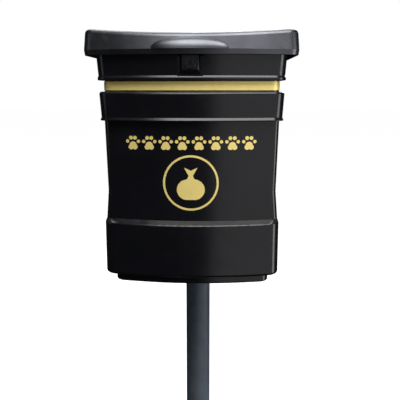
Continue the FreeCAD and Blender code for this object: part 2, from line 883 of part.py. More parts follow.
def make_lid():
    """The lid: a deep dished cap with a creased lip, a finger pull and hinge knuckles."""
    skin = new_body("LidSkin")
    add_block(skin, lid_low, lid_high)
    cut_dish(skin, d.lid_end_top, d.lid_centre_top)
    fillet(skin, d.lid_top_round, top_face_edges(skin.Tip.Shape))
    add_block(skin, lip_low, lid_low)
    fillet_loop(skin, d.lid_base, d.lid_lip_round)
    upper_ellipsoid(skin, "Additive", (d.pull_centre, d.lid_crease), d.pull_reach,
                    d.pull_half_width, d.pull_rise)

    hollow = new_body("LidHollow")
    inner = Level(d.lid_base - SUNK, d.lid_inner_width, d.lid_inner_front, d.lid_inner_back,
                  d.lid_corner - d.wall)
    add_block(hollow, inner, inner._replace(height=d.lid_end_top, width=d.lid_inner_top_width,
                                            front=d.lid_inner_top_front))
    cut_dish(hollow, d.lid_end_top - d.wall, d.lid_centre_top - d.wall)
    upper_ellipsoid(hollow, "Additive", (d.pull_centre, d.lid_crease + d.wall),
                    d.pull_reach - d.wall, d.pull_half_width - 2 * d.wall,
                    d.pull_rise - 1.5 * d.wall)

    knuckles = new_body("LidKnuckles")
    start, width = middle_knuckle()
    for side in (-1, 1):
        knuckle(knuckles, side, start, width, d.lid_axis_back, d.lid_axis_height,
                d.lid_barrel, (d.lid_axis_back, d.lid_inner_back + SUNK),
                (d.lid_axis_height - d.lid_barrel, d.lid_axis_height + d.lid_barrel))
    hinge_bore(knuckles, d.lid_axis_back, d.lid_axis_height)
    return node("lid", fuse(cut(skin, hollow), knuckles))


# ---------------------------------------------------------------- hinge rods and buffers


def make_hinge(name, axis_y, axis_z):
    """A rod through one row of knuckles, with a push-on cap at each end."""
    half = d.knuckle_outer + d.rod_overhang
    node(f"{name}_rod", rod(ALONG_X, -half, axis_y, axis_z, d.rod_radius, 2 * half))
    cap_start = d.knuckle_outer + d.rod_cap_gap
    caps = []
    for low in (cap_start, -cap_start - d.rod_cap_length):
        shell = rod(ALONG_X, low, axis_y, axis_z, d.rod_cap_radius, d.rod_cap_length)
        caps.append(cut(shell, rod(ALONG_X, -half, axis_y, axis_z, d.rod_radius, 2 * half)))
    group(f"{name}_rod_caps", caps)


def make_lid_buffers():
    """Rubber feet on the hood's flange that the closed lid rests on."""
    shapes = [rod(UP, side * d.lid_buffer_side, y, d.hood_top, d.lid_buffer_radius,
                  d.lid_buffer_height)
              for side in (-1, 1) for y in (d.lid_buffer_front, d.lid_buffer_back)]
    group("lid_buffers", shapes)


def make_hood_buffers():
    """Rubber strips on the neck's rim that the closed hood rests on."""
    half = d.hood_buffer_length / 2
    front = d.neck_front + d.hood_buffer_edge
    shapes = []
    for side in (-1, 1):
        middle = side * d.hood_buffer_side
        shapes.append(box((middle - half, middle + half), (front, front + d.hood_buffer_width),
                          (d.neck_top, d.neck_top + d.hood_buffer_height)))
    group("hood_buffers", shapes)


# ---------------------------------------------------------------- lock


def make_lock_housing():
    """A square block with bevelled edges that stands in the hood's recess."""
    height, half = d.lock_height, d.lock_width / 2
    block = new_body("LockHousing")
    shoulder = d.lock_floor - d.lock_edge
    sketch = sketch_on(block, "XZ_Plane", -d.lock_floor)
    rectangle(sketch, -half, half, height - half, height + half)
    pad(block, sketch, d.lock_edge)
    outlines = []
    for y, side, low, high in ((shoulder, as_dim(0), as_dim(0), as_dim(0)),
                               (d.lock_face, d.lock_side_bevel, d.lock_base_bevel,
                                d.lock_top_bevel)):
        sketch = sketch_on(block, "XZ_Plane", -y)
        rectangle(sketch, side - half, half - side, height - half + low, height + half - high)
        outlines.append(sketch)
    ruled_loft(block, "Additive", outlines)
    sketch = sketch_on(block, "XZ_Plane", -d.lock_face)
    circle(sketch, 0, height, d.barrel_radius + d.barrel_gap)
    pocket(block, sketch, 4 * PAST)
    node("lock_housing", block)


def make_lock_barrel():
    """The fixed barrel with a thin flange, and the nut that clamps it behind the boss."""
    height = d.lock_height
    front = d.lock_face - d.flange_thick
    flange = rod(ALONG_Y, 0, front, height, d.flange_radius, d.flange_thick)
    length = d.cam_front - d.cam_gap - front
    sleeve = rod(ALONG_Y, 0, front, height, d.barrel_radius, length)
    bore = drill(ALONG_Y, 0, front, height, d.plug_radius + d.running_clearance, length)
    node("lock_barrel", cut(fuse(flange, sleeve), bore))
    nut = prism(ALONG_Y, 0, d.lock_boss_back, height, d.lock_nut_radius, d.lock_nut_thick)
    thread = drill(ALONG_Y, 0, d.lock_boss_back, height, d.barrel_radius, d.lock_nut_thick)
    node("lock_nut", cut(nut, thread))


def make_lock_plug():
    """The turning plug: a round core with a three-sided key socket and a tail for the cam."""
    height = d.lock_height
    front = d.lock_face - d.plug_stand
    end = d.cam_front - d.cam_gap
    core = rod(ALONG_Y, 0, front, height, d.plug_radius, end - front)
    tail = rod(ALONG_Y, 0, end - SUNK, height, d.tail_radius,
               d.cam_front + d.cam_thick - end + SUNK)
    socket = prism(ALONG_Y, 0, front - SUNK, height, d.key_radius, d.key_depth + SUNK, sides=3)
    node("lock_plug", cut(fuse(core, tail), socket))


def make_lock_cam():
    """A lever that hangs from the plug's tail, and the screw and washer that hold it."""
    height = d.lock_height
    back = d.cam_front + d.cam_thick
    cam = new_body("LockCam")
    for draw in ("hub", "lever"):
        sketch = sketch_on(cam, "XZ_Plane", -back)
        if draw == "hub":
            circle(sketch, 0, height, d.cam_hub)
        else:
            rectangle(sketch, -d.cam_width / 2, d.cam_width / 2, height - d.cam_reach, height)
        pad(cam, sketch, d.cam_thick)
    sketch = sketch_on(cam, "XZ_Plane", -d.cam_front)
    circle(sketch, 0, height, d.tail_radius)
    pocket(cam, sketch, 2 * PAST)
    node("lock_cam", cam)
    washer = rod(ALONG_Y, 0, back, height, d.cam_washer_radius, d.cam_washer_thick)
    head = rod(ALONG_Y, 0, back, height, d.cam_screw_radius, d.cam_screw_height)
    node("cam_screw", fuse(washer, head))


def make_keeper():
    """A hooked plate behind the neck's rim. The turned cam is caught under its lip."""
    body = new_body("Keeper")
    sketch = sketch_on(body, "XZ_Plane", -d.keeper_front - d.keeper_thick)
    polygon(sketch, [(d.keeper_stem, d.keeper_base), (d.keeper_outer, d.keeper_base),
                     (d.keeper_outer, d.keeper_lip_top), (d.keeper_inner, d.keeper_lip_top),
                     (d.keeper_inner, d.keeper_lip_base), (d.keeper_stem, d.keeper_lip_base)])
    pad(body, sketch, d.keeper_thick)
    node("keeper", body)
    middle = (d.keeper_stem + d.keeper_outer) / 2
    back = d.keeper_front + d.keeper_thick
    group("keeper_screws", [rod(ALONG_Y, middle, back, z, d.keeper_screw_radius,
                                d.keeper_screw_height)
                            for z in (d.keeper_screw_low, d.keeper_screw_high)])


# ---------------------------------------------------------------- liner


def make_liner():
    """A lift-out bucket of galvanised sheet with an outward hem."""
    body = new_body("Liner")
    add_block(body, liner_low, liner_high)
    hem = inset(liner_high, -d.hem_width, d.liner_top - d.hem_height)
    sketch = sketch_on(body, "XY_Plane", hem.height)
    bowed_outline(sketch, hem)
    pad(body, sketch, d.hem_height)
    fillet_loop(body, d.liner_base, d.liner_base_round)
    cut_block(body, inset(liner_low, d.liner_sheet, d.liner_base + d.liner_sheet),
              inset(liner_high, d.liner_sheet))
    sketch = sketch_on(body, "YZ_Plane", 0)
    for y, z in rivet_places():
        circle(sketch, y, z, d.rivet_radius)
    pocket(body, sketch, 2 * d.liner_top_width)
    return node("liner", body)


def rivet_places():
    """The Y and Z of the two rivets in each ear."""
    return [(d.handle_axis_back + side * d.rivet_side, d.ear_base + d.rivet_rise)
            for side in (-1, 1)]


def ear_outside():
    """How far the outer face of an ear is from the middle."""
    return d.liner_top_width / 2 - d.liner_sheet - d.ear_gap


def make_liner_ears():
    """Lugs that stand up from inside the liner's rim and carry the handle."""
    back, height = d.handle_axis_back, d.handle_axis_height
    half = d.ear_width / 2
    outside = ear_outside()
    ears = []
    for side in (-1, 1):
        low = mirrored(side, outside - d.ear_thick, outside)
        plate = box((low, low + d.ear_thick), (back - half, back + half), (d.ear_base, height))
        crown = rod(ALONG_X, low, back, height, d.ear_crown, d.ear_thick)
        holes = [drill(ALONG_X, low, y, z, radius, d.ear_thick) for y, z, radius in
                 [(back, height, d.handle_wire + d.handle_pin_gap)]
                 + [(y, z, d.rivet_radius) for y, z in rivet_places()]]
        ears.append(cut(fuse(plate, crown), *holes))
    group("liner_ears", ears)


def make_liner_rivets():
    """Round rivets, each a shank between two flat heads."""
    inside = ear_outside() - d.ear_thick
    wall_outside = d.liner_top_width / 2
    head = d.rivet_head_height
    outer_head = wall_outside + d.rivet_head_gap
    spans = ((d.rivet_radius, inside - head / 2, wall_outside + head / 2),
             (d.rivet_head, inside - head, inside),
             (d.rivet_head, outer_head, outer_head + head))
    rivets = []
    for side in (-1, 1):
        for y, z in rivet_places():
            rivets.append(fuse(*[rod(ALONG_X, mirrored(side, near, far), y, z, radius, far - near)
                                 for radius, near, far in spans]))
    group("liner_rivets", rivets)


def make_liner_handle():
    """A wire bail that lies back on the liner's hem, with a plastic grip on its bar."""
    wire, height = d.handle_wire, d.handle_axis_height
    side, back = d.handle_side, d.handle_axis_back
    bar = back + d.handle_reach
    end, bend = d.handle_end_bend, d.handle_corner_bend
    pin_tip = ear_outside() - d.ear_thick - d.handle_pin_overhang
    pieces = [rod(ALONG_X, bend - side, bar, height, wire, 2 * (side - bend))]
    for sign, end_turn, corner_turn in ((-1, 180, 90), (1, 270, 0)):
        pieces.append(rod(ALONG_X, mirrored(sign, pin_tip, side - end), back, height, wire,
                          side - end - pin_tip))
        pieces.append(rod(ALONG_Y, sign * side, back + end, height, wire,
                          d.handle_reach - end - bend))
        pieces.append(elbow(sign * (side - end), back + end, height, end, wire, end_turn))
        pieces.append(elbow(sign * (side - bend), bar - bend, height, bend, wire, corner_turn))
    node("liner_handle", fuse(*pieces))
    half = d.grip_length / 2
    grip = rod(ALONG_X, -half, bar, height, d.grip_radius, d.grip_length)
    node("handle_grip", cut(grip, drill(ALONG_X, -half, bar, height, wire, d.grip_length)))


# ---------------------------------------------------------------- post and base


def make_post():
    body = new_body("Post")
    sketch = sketch_on(body, "XY_Plane", d.plate_thick)
    circle(sketch, 0, 0, d.post_radius)
    circle(sketch, 0, 0, d.post_radius - d.post_wall)
    pad(body, sketch, d.post_top - d.plate_thick)
    node("post", body)

    cap = new_body("PostCap")
    sketch = sketch_on(cap, "XY_Plane", d.post_top)
    circle(sketch, 0, 0, d.post_radius)
    pad(cap, sketch, d.cap_thick)
    sketch = sketch_on(cap, "XY_Plane", d.post_top - d.cap_plug)
    plug_radius = d.post_radius - d.post_wall - d.cap_plug_gap
    circle(sketch, 0, 0, plug_radius)
    circle(sketch, 0, 0, plug_radius - d.cap_plug_wall)
    pad(cap, sketch, d.cap_plug)
    fillet_loop(cap, d.post_top + d.cap_thick, d.cap_round)
    node("post_cap", cap)


def make_base_plate():
    body = new_body("BasePlate")
    half = d.plate_side / 2
    sketch = sketch_on(body, "XY_Plane", 0)
    rectangle(sketch, -half, half, -half, half)
    pad(body, sketch, d.plate_thick)
    doc.recompute()
    shape = body.Tip.Shape
    upright = [f"Edge{k}" for k, edge in enumerate(shape.Edges, start=1)
               if edge.BoundBox.ZLength > d.plate_thick.value / 2]
    fillet(body, d.plate_corner, upright)
    fillet_loop(body, d.plate_thick, d.plate_round)
    pitch = d.plate_hole_pitch / 2
    sketch = sketch_on(body, "XY_Plane", d.plate_thick / 2)
    for x in (-1, 1):
        for y in (-1, 1):
            circle(sketch, x * pitch, y * pitch, d.plate_hole_radius)
    pocket(body, sketch, d.plate_thick + 2 * PAST)
    node("base_plate", body)


def make_gussets():
    """Four triangular ribs between the post and the base plate."""
    profile = doc.addObject("Sketcher::SketchObject", "GussetProfile")
    start = d.post_radius + d.gusset_gap
    end = start + d.gusset_reach
    low = d.plate_thick
    high = low + d.gusset_rise
    polygon(profile, [(start, low), (end, low), (end, low + d.gusset_toe),
                      (start + d.gusset_crest, high), (start, high)])
    profile.Placement = FreeCAD.Placement(FreeCAD.Vector(),
                                          FreeCAD.Rotation(FreeCAD.Vector(1, 0, 0), 90))
    ribs = []
    for quarter in range(4):
        rib = doc.addObject("Part::Extrusion", "Gusset")
        rib.Base = profile
        rib.DirMode = "Custom"
        rib.Dir = FreeCAD.Vector(0, -1, 0)
        rib.Symmetric = True
        rib.Solid = True
        bind(rib, "LengthFwd", d.gusset_thick)
        rib.Placement = FreeCAD.Placement(FreeCAD.Vector(),
                                          FreeCAD.Rotation(FreeCAD.Vector(0, 0, 1), 90 * quarter))
        ribs.append(rib)
    group("base_gussets", ribs)


# ---------------------------------------------------------------- post clamps


def clamp_half(level, facing):
    """Half of a two-part post clamp. facing is -1 for the body's side, 1 for the far side."""
    low = level - d.clamp_height / 2
    rows = (low, low + d.clamp_height)
    reach = d.clamp_ear_reach
    near, far = d.clamp_split, d.clamp_split + d.clamp_ear
    if facing < 0:
        ears = box((-reach, reach), (-far, -near), rows)
        other_side = box((-2 * reach, 2 * reach), (-near, 2 * reach), rows)
    else:
        ears = box((-reach, reach), (near, far), rows)
        other_side = box((-2 * reach, 2 * reach), (-2 * reach, near), rows)
    parts = [rod(UP, 0, 0, low, d.clamp_outer, d.clamp_height), ears]
    tools = [other_side, drill(UP, 0, 0, low, d.clamp_bore, d.clamp_height)]
    for side in (-1, 1):
        tools.append(drill(ALONG_Y, side * d.clamp_bolt_side, -far, level, d.bolt_hole, 2 * far))
    if facing < 0:
        half, plate_face = d.bracket_half_width, d.body_back + d.bracket_thick
        parts.append(box((-half, half), (d.body_back, plate_face), rows))
        for side in (-1, 1):
            inner = mirrored(side, d.clamp_web_inner, d.clamp_web_outer)
            outer = inner + d.clamp_web_outer - d.clamp_web_inner
            parts.append(box((inner, outer), (plate_face - SUNK, -near), rows))
            tools.append(drill(ALONG_Y, side * d.mount_bolt_side, d.body_back, level,
                               d.bolt_hole, d.bracket_thick))
    return cut(fuse(*parts), *tools)


def hex_bolt(x, y, z, facing, length):
    """A bolt whose head bears at y, with its shank in the direction of facing."""
    turn = ALONG_Y if facing > 0 else TOWARDS_FRONT
    head_start = y - facing * d.bolt_head_height
    return fuse(prism(turn, x, head_start, z, d.bolt_head, d.bolt_head_height),
                rod(turn, x, head_start, z, d.bolt_radius, length + d.bolt_head_height))


def hex_nut(x, y, z, facing):
    """A nut that bears at y and stands off in the direction of facing."""
    turn = ALONG_Y if facing > 0 else TOWARDS_FRONT
    return cut(prism(turn, x, y, z, d.bolt_head, d.bolt_nut_height),
               drill(turn, x, y, z, d.bolt_radius, d.bolt_nut_height))


def make_clamps():
    """Both post clamps, with the bolts and nuts that draw their halves together."""
    for name, level in (("upper", d.upper_clamp), ("lower", d.lower_clamp)):
        node(f"{name}_bracket", clamp_half(level, -1))
        node(f"{name}_strap", clamp_half(level, 1))
    ear_face = d.clamp_split + d.clamp_ear
    length = 2 * ear_face + d.bolt_nut_height + d.bolt_spare
    places = [(side * d.clamp_bolt_side, level) for level in clamp_heights() for side in (-1, 1)]
    group("clamp_bolts", [hex_bolt(x, ear_face, z, -1, length) for x, z in places])
    group("clamp_nuts", [hex_nut(x, -ear_face, z, -1) for x, z in places])


def make_mountings():
    """The bolts through the body's back, their nuts, and a backing plate inside each pair."""
    bracket_face = d.body_back + d.bracket_thick
    half = d.bracket_half_width
    bolts, plates = [], []
    for level, wall_back in ((d.upper_clamp, d.panel_back), (d.lower_clamp, d.body_back)):
        inside = wall_back - d.wall
        bearing = inside - d.backing_thick
        length = bracket_face - bearing + d.bolt_nut_height + d.bolt_spare
        plate = box((-half, half), (bearing, inside),
                    (level - d.backing_half_height, level + d.backing_half_height))
        holes = []
        for side in (-1, 1):
            x = side * d.mount_bolt_side
            holes.append(drill(ALONG_Y, x, bearing, level, d.bolt_hole, d.backing_thick))
            bolts.append(hex_bolt(x, bearing, level, 1, length))
        plates.append(cut(plate, *holes))
    group("backing_plates", plates)
    group("mounting_bolts", bolts)
    group("mounting_nuts", [hex_nut(x, bracket_face, z, 1) for x, z in mount_bolt_places()])


# ---------------------------------------------------------------- printed film


def film_layer(level, reach):
    """A thin curved sheet on the bowed panel, which reaches as far up as down from a level."""
    bow_y = d.panel_front + d.bow_radius
    inner = d.bow_radius + d.film_gap
    low = level - reach - d.film_margin
    height = 2 * (reach + d.film_margin)
    outside = rod(UP, 0, bow_y, low, inner + d.film_thick, height)
    return cut(outside, drill(UP, 0, bow_y, low, inner, height))


def film_disc(x, z, radius):
    """A round cutter that passes through the film layer from the front."""
    return rod(ALONG_Y, x, d.panel_front - PAST, z, radius, 3 * PAST)


def discs(places, x, z):
    """The cutters for a list of discs, moved to x and z."""
    return [film_disc(x + across, z + rise, radius) for across, rise, radius in places]


def make_films():
    """Gold film: a ring, a tied-bag picture inside it, and a row of plain paw prints."""
    level, radius = d.ring_height, d.ring_radius
    ring = cut(film_disc(0, level, radius), film_disc(0, level, radius - d.ring_line))
    node("emblem_ring", common(film_layer(level, radius), ring))

    neck = new_body("BagNeck")
    sketch = sketch_on(neck, "XZ_Plane", -(d.panel_front - PAST))
    polygon(sketch, [(across, level + rise) for across, rise in BAG_NECK])
    pad(neck, sketch, as_dim(6 * PAST), symmetric=True)
    picture = fuse(neck, *discs(BAG_BELLY, 0, level))
    node("emblem_bag", common(film_layer(level, radius), picture))

    prints = []
    for k in range(PAW_COUNT):
        x = (k - (PAW_COUNT - 1) / 2) * d.paw_pitch
        prints.append(fuse(*discs(PAW_PAD, x, d.paw_height)))
        prints.extend(discs(PAW_TOES, x, d.paw_height))
    row = doc.addObject("Part::Compound", "Prints")
    row.Links = prints
    node("paw_row", common(film_layer(d.paw_height, d.paw_pitch / 2), row))


# ---------------------------------------------------------------- build and write


make_base_plate()
make_gussets()
make_post()
make_clamps()
make_mountings()
make_body_shell()
make_gold_band()
make_films()
make_hood()
make_lid()
make_hinge("hood_hinge", d.hood_axis_back, d.hood_axis_height)
make_hinge("lid_hinge", d.lid_axis_back, d.lid_axis_height)
make_lid_buffers()
make_hood_buffers()
make_lock_housing()
make_lock_barrel()
make_lock_plug()
make_lock_cam()
make_keeper()
make_liner()
make_liner_ears()
make_liner_rivets()
make_liner_handle()
doc.recompute()

for obj in doc.Objects:
    if any(flag in obj.State for flag in ("Invalid", "Error")):
        raise RuntimeError(f"{obj.Name} ({obj.TypeId}) did not compute: {obj.State}")
for name, obj in nodes.items():
    if obj.Shape.isNull() or not obj.Shape.isValid() or not obj.Shape.Solids:
        raise RuntimeError(f"{name} has no valid solid")

os.makedirs("parts", exist_ok=True)
for name, obj in nodes.items():
    obj.Shape.exportStep(os.path.join("parts", f"{name}.step"))
    solids = len(obj.Shape.Solids)
    print(f"{name}: {solids} solid(s), {obj.Shape.Volume / 1000:.1f} cm3")
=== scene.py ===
import json
import math

import bmesh
import bpy
from mathutils import Matrix, Vector, noise


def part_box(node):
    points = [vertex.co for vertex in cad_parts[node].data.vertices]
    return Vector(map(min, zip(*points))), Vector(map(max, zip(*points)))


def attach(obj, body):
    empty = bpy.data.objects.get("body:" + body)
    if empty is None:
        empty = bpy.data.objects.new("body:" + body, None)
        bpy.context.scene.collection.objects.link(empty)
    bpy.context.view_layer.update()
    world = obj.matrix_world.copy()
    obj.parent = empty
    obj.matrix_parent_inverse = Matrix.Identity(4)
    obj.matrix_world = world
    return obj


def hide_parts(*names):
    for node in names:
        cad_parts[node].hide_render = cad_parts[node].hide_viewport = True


# A post-mounted dog waste bin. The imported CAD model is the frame, in metres, with +Z up and the
# front facing -Y. This script gives every node its material and adds or replaces small pieces.

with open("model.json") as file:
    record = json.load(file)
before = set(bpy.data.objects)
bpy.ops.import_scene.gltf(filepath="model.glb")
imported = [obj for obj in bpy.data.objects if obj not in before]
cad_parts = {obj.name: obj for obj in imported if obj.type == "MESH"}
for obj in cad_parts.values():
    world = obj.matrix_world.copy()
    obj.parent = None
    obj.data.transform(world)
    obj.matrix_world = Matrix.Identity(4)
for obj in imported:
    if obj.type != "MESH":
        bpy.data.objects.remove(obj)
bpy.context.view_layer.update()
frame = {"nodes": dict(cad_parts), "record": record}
NODES = frame["nodes"]
SLOTS = {part["node"]: part["material_slot"] for part in frame["record"]["subparts"]}
MM = 0.001


# ---------------------------------------------------------------- materials


# The pale colour that upward plastic faces blend to: partly real dust, partly a painted highlight
# standing in for light from above.
DUST_AND_TOP_LIGHT = (0.09, 0.088, 0.084)
MUD = (0.17, 0.135, 0.10)
GRIME = (0.12, 0.10, 0.085)


class Surface:
    """A node material built round one Principled shader, patterned in object coordinates."""

    def __init__(self, name):
        self.material = bpy.data.materials.new(name)
        self.material.use_nodes = True
        self.tree = self.material.node_tree
        self.tree.nodes.clear()
        out = self.add("ShaderNodeOutputMaterial")
        self.shader = self.add("ShaderNodeBsdfPrincipled")
        self.tree.links.new(self.shader.outputs[0], out.inputs["Surface"])
        self.place = self.add("ShaderNodeTexCoord").outputs["Object"]

    def add(self, kind, **settings):
        """A new node with some of its settings changed."""
        made = self.tree.nodes.new(kind)
        for key, value in settings.items():
            setattr(made, key, value)
        return made

    def feed(self, socket, value):
        """Links a socket to an input, or sets the input to a plain value."""
        if isinstance(value, bpy.types.NodeSocket):
            self.tree.links.new(value, socket)
        else:
            socket.default_value = value

    def stretched(self, stretch):
        """The object coordinates, scaled along each axis."""
        node = self.add("ShaderNodeMapping")
        self.feed(node.inputs["Vector"], self.place)
        node.inputs["Scale"].default_value = stretch
        return node.outputs[0]

    def noise(self, size, detail=3, rough=0.55, stretch=(1, 1, 1), distort=0.0):
        """Soft noise from 0 to 1 whose blobs are about size metres across."""
        node = self.add("ShaderNodeTexNoise")
        self.feed(node.inputs["Vector"], self.stretched(stretch))
        node.inputs["Scale"].default_value = 1 / size
        node.inputs["Detail"].default_value = detail
        node.inputs["Roughness"].default_value = rough
        node.inputs["Distortion"].default_value = distort
        return node.outputs[0]

    def cells(self, size, output="Distance"):
        """A pattern of cells about size metres across."""
        node = self.add("ShaderNodeTexVoronoi")
        self.feed(node.inputs["Vector"], self.place)
        node.inputs["Scale"].default_value = 1 / size
        return node.outputs[output]

    def fit(self, value, low, high, to_low=0.0, to_high=1.0):
        """Maps low..high of a value smoothly to another range."""
        node = self.add("ShaderNodeMapRange", interpolation_type="SMOOTHSTEP")
        for key, number in (("Value", value), ("From Min", low), ("From Max", high),
                            ("To Min", to_low), ("To Max", to_high)):
            self.feed(node.inputs[key], number)
        return node.outputs[0]

    def maths(self, operation, first, second):
        """A sum, difference or product of two values."""
        node = self.add("ShaderNodeMath", operation=operation)
        self.feed(node.inputs[0], first)
        self.feed(node.inputs[1], second)
        return node.outputs[0]

    def blend(self, share, first, second):
        """A colour between two colours."""
        node = self.add("ShaderNodeMix", data_type="RGBA")
        for key, value in ((0, share), (6, first), (7, second)):
            if isinstance(value, tuple):
                value = (*value, 1.0)
            self.feed(node.inputs[key], value)
        return node.outputs[2]

    def height(self):
        """The surface point's own Z."""
        node = self.add("ShaderNodeSeparateXYZ")
        self.feed(node.inputs[0], self.place)
        return node.outputs["Z"]

    def upward(self):
        """From 0 on walls and undersides to 1 on level tops."""
        geometry = self.add("ShaderNodeNewGeometry")
        parts = self.add("ShaderNodeSeparateXYZ")
        self.feed(parts.inputs[0], geometry.outputs["Normal"])
        return self.fit(parts.outputs["Z"], 0.3, 0.95)

    def edges(self, radius, low=0.01, high=0.2):
        """From 0 on flats to 1 on corners, for wear and settled dirt."""
        soft = self.add("ShaderNodeBevel", samples=4)
        soft.inputs["Radius"].default_value = radius
        geometry = self.add("ShaderNodeNewGeometry")
        node = self.add("ShaderNodeVectorMath", operation="DOT_PRODUCT")
        self.feed(node.inputs[0], soft.outputs[0])
        self.feed(node.inputs[1], geometry.outputs["Normal"])
        return self.fit(self.maths("SUBTRACT", 1.0, node.outputs["Value"]), low, high)

    def bumps(self, *layers):
        """Layers of (height, depth in metres), the broadest first."""
        normal = None
        for height, depth in layers:
            node = self.add("ShaderNodeBump")
            node.inputs["Strength"].default_value = 1.0
            node.inputs["Distance"].default_value = depth
            self.feed(node.inputs["Height"], height)
            if normal is not None:
                self.feed(node.inputs["Normal"], normal)
            normal = node.outputs[0]
        self.feed(self.shader.inputs["Normal"], normal)

    def finish(self, colour, roughness, metallic=0.0):
        """Feeds the shader its patterned colour and roughness, and one plain metallic value."""
        self.feed(self.shader.inputs["Base Color"], colour)
        self.feed(self.shader.inputs["Roughness"], roughness)
        self.shader.inputs["Metallic"].default_value = metallic
        return self.material


def moulded_plastic(name, dark, pale, gloss, wobble, metallic=0.0):
    """Moulded polyethylene: fine grain, slow waves, wiped scratches, rubbed edges, and upward
    faces paled partly by dust and partly by a painted highlight.
    """
    s = Surface(name)
    cloud = s.noise(0.09, detail=4)
    grain = s.noise(0.0009, detail=2)
    scratch = s.fit(s.noise(0.004, detail=3, stretch=(0.06, 0.06, 1.0), distort=1.5), 0.63, 0.72)
    smear = s.fit(s.noise(0.05, detail=5, rough=0.7, distort=0.6), 0.42, 0.75)
    # Mask of upward faces: partly settled dust, partly a painted highlight where light from above
    # would fall.
    dust_and_top_light = s.maths("MULTIPLY", s.upward(), s.fit(s.noise(0.05, detail=3), 0.2, 0.8))
    worn = s.maths("MULTIPLY", s.edges(0.0025), s.fit(s.noise(0.012, detail=5), 0.42, 0.7))
    tint = s.blend(s.fit(cloud, 0.3, 0.7), dark, tuple(1.35 * c for c in dark))
    tint = s.blend(s.maths("MULTIPLY", scratch, 0.08), tint, pale)
    tint = s.blend(s.maths("MULTIPLY", worn, 0.2), tint, pale)
    # Upward faces blend to a paler colour: dust, and also a painted highlight from above.
    tint = s.blend(s.maths("MULTIPLY", dust_and_top_light, 0.3), tint, DUST_AND_TOP_LIGHT)
    rough = s.fit(smear, 0.0, 1.0, gloss, gloss + 0.07)
    rough = s.maths("ADD", rough, s.maths("MULTIPLY", dust_and_top_light, 0.12))
    rough = s.maths("ADD", rough, s.maths("MULTIPLY", worn, 0.06))
    s.bumps((s.noise(0.14, detail=1), wobble), (grain, 0.000012), (scratch, 0.000006))
    return s.finish(tint, rough, metallic)


def gold_film():
    """Satin gold film with a fine grain, faint rubbing and dulled edges."""
    s = Surface("gold_film")
    rub = s.fit(s.noise(0.018, detail=6, rough=0.7), 0.35, 0.8)
    fleck = s.noise(0.0006, detail=2)
    streak = s.noise(0.003, detail=3, stretch=(0.05, 0.05, 1.0))
    tint = s.blend(rub, (1.0, 0.8, 0.27), (0.92, 0.7, 0.21))
    tint = s.blend(s.fit(streak, 0.3, 0.75, 0.0, 0.35), tint, (1.0, 0.8, 0.3))
    rough = s.fit(fleck, 0.2, 0.8, 0.4, 0.5)
    s.bumps((s.noise(0.05, detail=1), 0.0002), (fleck, 0.00001))
    return s.finish(tint, rough, metallic=0.42)


def powder_coat(name, colour, worn_colour, splash):
    """Powder coat: orange peel, faint chalking, chips on edges and mud splashed near the foot."""
    s = Surface(name)
    peel = s.noise(0.0022, detail=2)
    chalk = s.fit(s.noise(0.06, detail=5, rough=0.65), 0.35, 0.75)
    fleck = s.fit(s.cells(0.0035), 0.0, 0.16, 1.0, 0.0)
    chip = s.maths("MULTIPLY", s.edges(0.0016, 0.02, 0.25),
                   s.fit(s.noise(0.006, detail=6, rough=0.75), 0.52, 0.6))
    low = s.fit(s.height(), 0.02, splash, 1.0, 0.0)
    mud = s.maths("MULTIPLY", low, s.fit(s.noise(0.012, detail=8, rough=0.75), 0.45, 0.68))
    tint = s.blend(chalk, colour, tuple(min(1.0, 1.3 * c + 0.006) for c in colour))
    tint = s.blend(s.maths("MULTIPLY", fleck, 0.12), tint, tuple(0.5 * c for c in colour))
    tint = s.blend(chip, tint, worn_colour)
    tint = s.blend(s.maths("MULTIPLY", mud, 0.6), tint, MUD)
    rough = s.maths("ADD", s.fit(chalk, 0.0, 1.0, 0.42, 0.55), s.maths("MULTIPLY", mud, 0.3))
    s.bumps((s.noise(0.02, detail=2), 0.0002), (peel, 0.00012), (mud, 0.0002))
    return s.finish(tint, rough)


def galvanised():
    """Hot-dip galvanised sheet: crystal spangle, white bloom and fine scratches."""
    s = Surface("galvanised")
    spangle = s.cells(0.013, output="Color")
    grey = s.add("ShaderNodeRGBToBW")
    s.feed(grey.inputs[0], spangle)
    shade = grey.outputs[0]
    bloom = s.fit(s.noise(0.05, detail=7, rough=0.7), 0.48, 0.72)
    scratch = s.fit(s.noise(0.003, detail=3, stretch=(1.0, 1.0, 0.05)), 0.62, 0.72)
    tint = s.blend(s.fit(shade, 0.2, 0.8), (0.40, 0.42, 0.44), (0.58, 0.60, 0.61))
    tint = s.blend(s.maths("MULTIPLY", bloom, 0.5), tint, (0.66, 0.67, 0.66))
    tint = s.blend(s.maths("MULTIPLY", scratch, 0.4), tint, (0.30, 0.31, 0.32))
    rough = s.maths("ADD", s.fit(shade, 0.2, 0.8, 0.32, 0.5), s.maths("MULTIPLY", bloom, 0.18))
    s.bumps((s.noise(0.07, detail=1), 0.0006), (shade, 0.00003), (scratch, 0.00003))
    return s.finish(tint, rough, metallic=0.85)


def plated_steel(name, colour, gloss, along=(1, 1, 1)):
    """Plated or brushed steel: fine drawn lines, dulled patches and darkened corners."""
    s = Surface(name)
    drawn = s.noise(0.0006, detail=3, stretch=along)
    patch = s.fit(s.noise(0.008, detail=5, rough=0.7), 0.4, 0.75)
    dirt = s.maths("MULTIPLY", s.edges(0.0012), s.fit(s.noise(0.004, detail=4), 0.35, 0.65))
    tint = s.blend(patch, colour, tuple(0.72 * c for c in colour))
    tint = s.blend(s.maths("MULTIPLY", dirt, 0.5), tint, GRIME)
    rough = s.maths("ADD", s.fit(drawn, 0.25, 0.75, gloss, gloss + 0.16),
                    s.maths("MULTIPLY", patch, 0.12))
    s.bumps((drawn, 0.00002), (s.noise(0.003, detail=2), 0.00004))
    return s.finish(tint, rough, metallic=0.95)


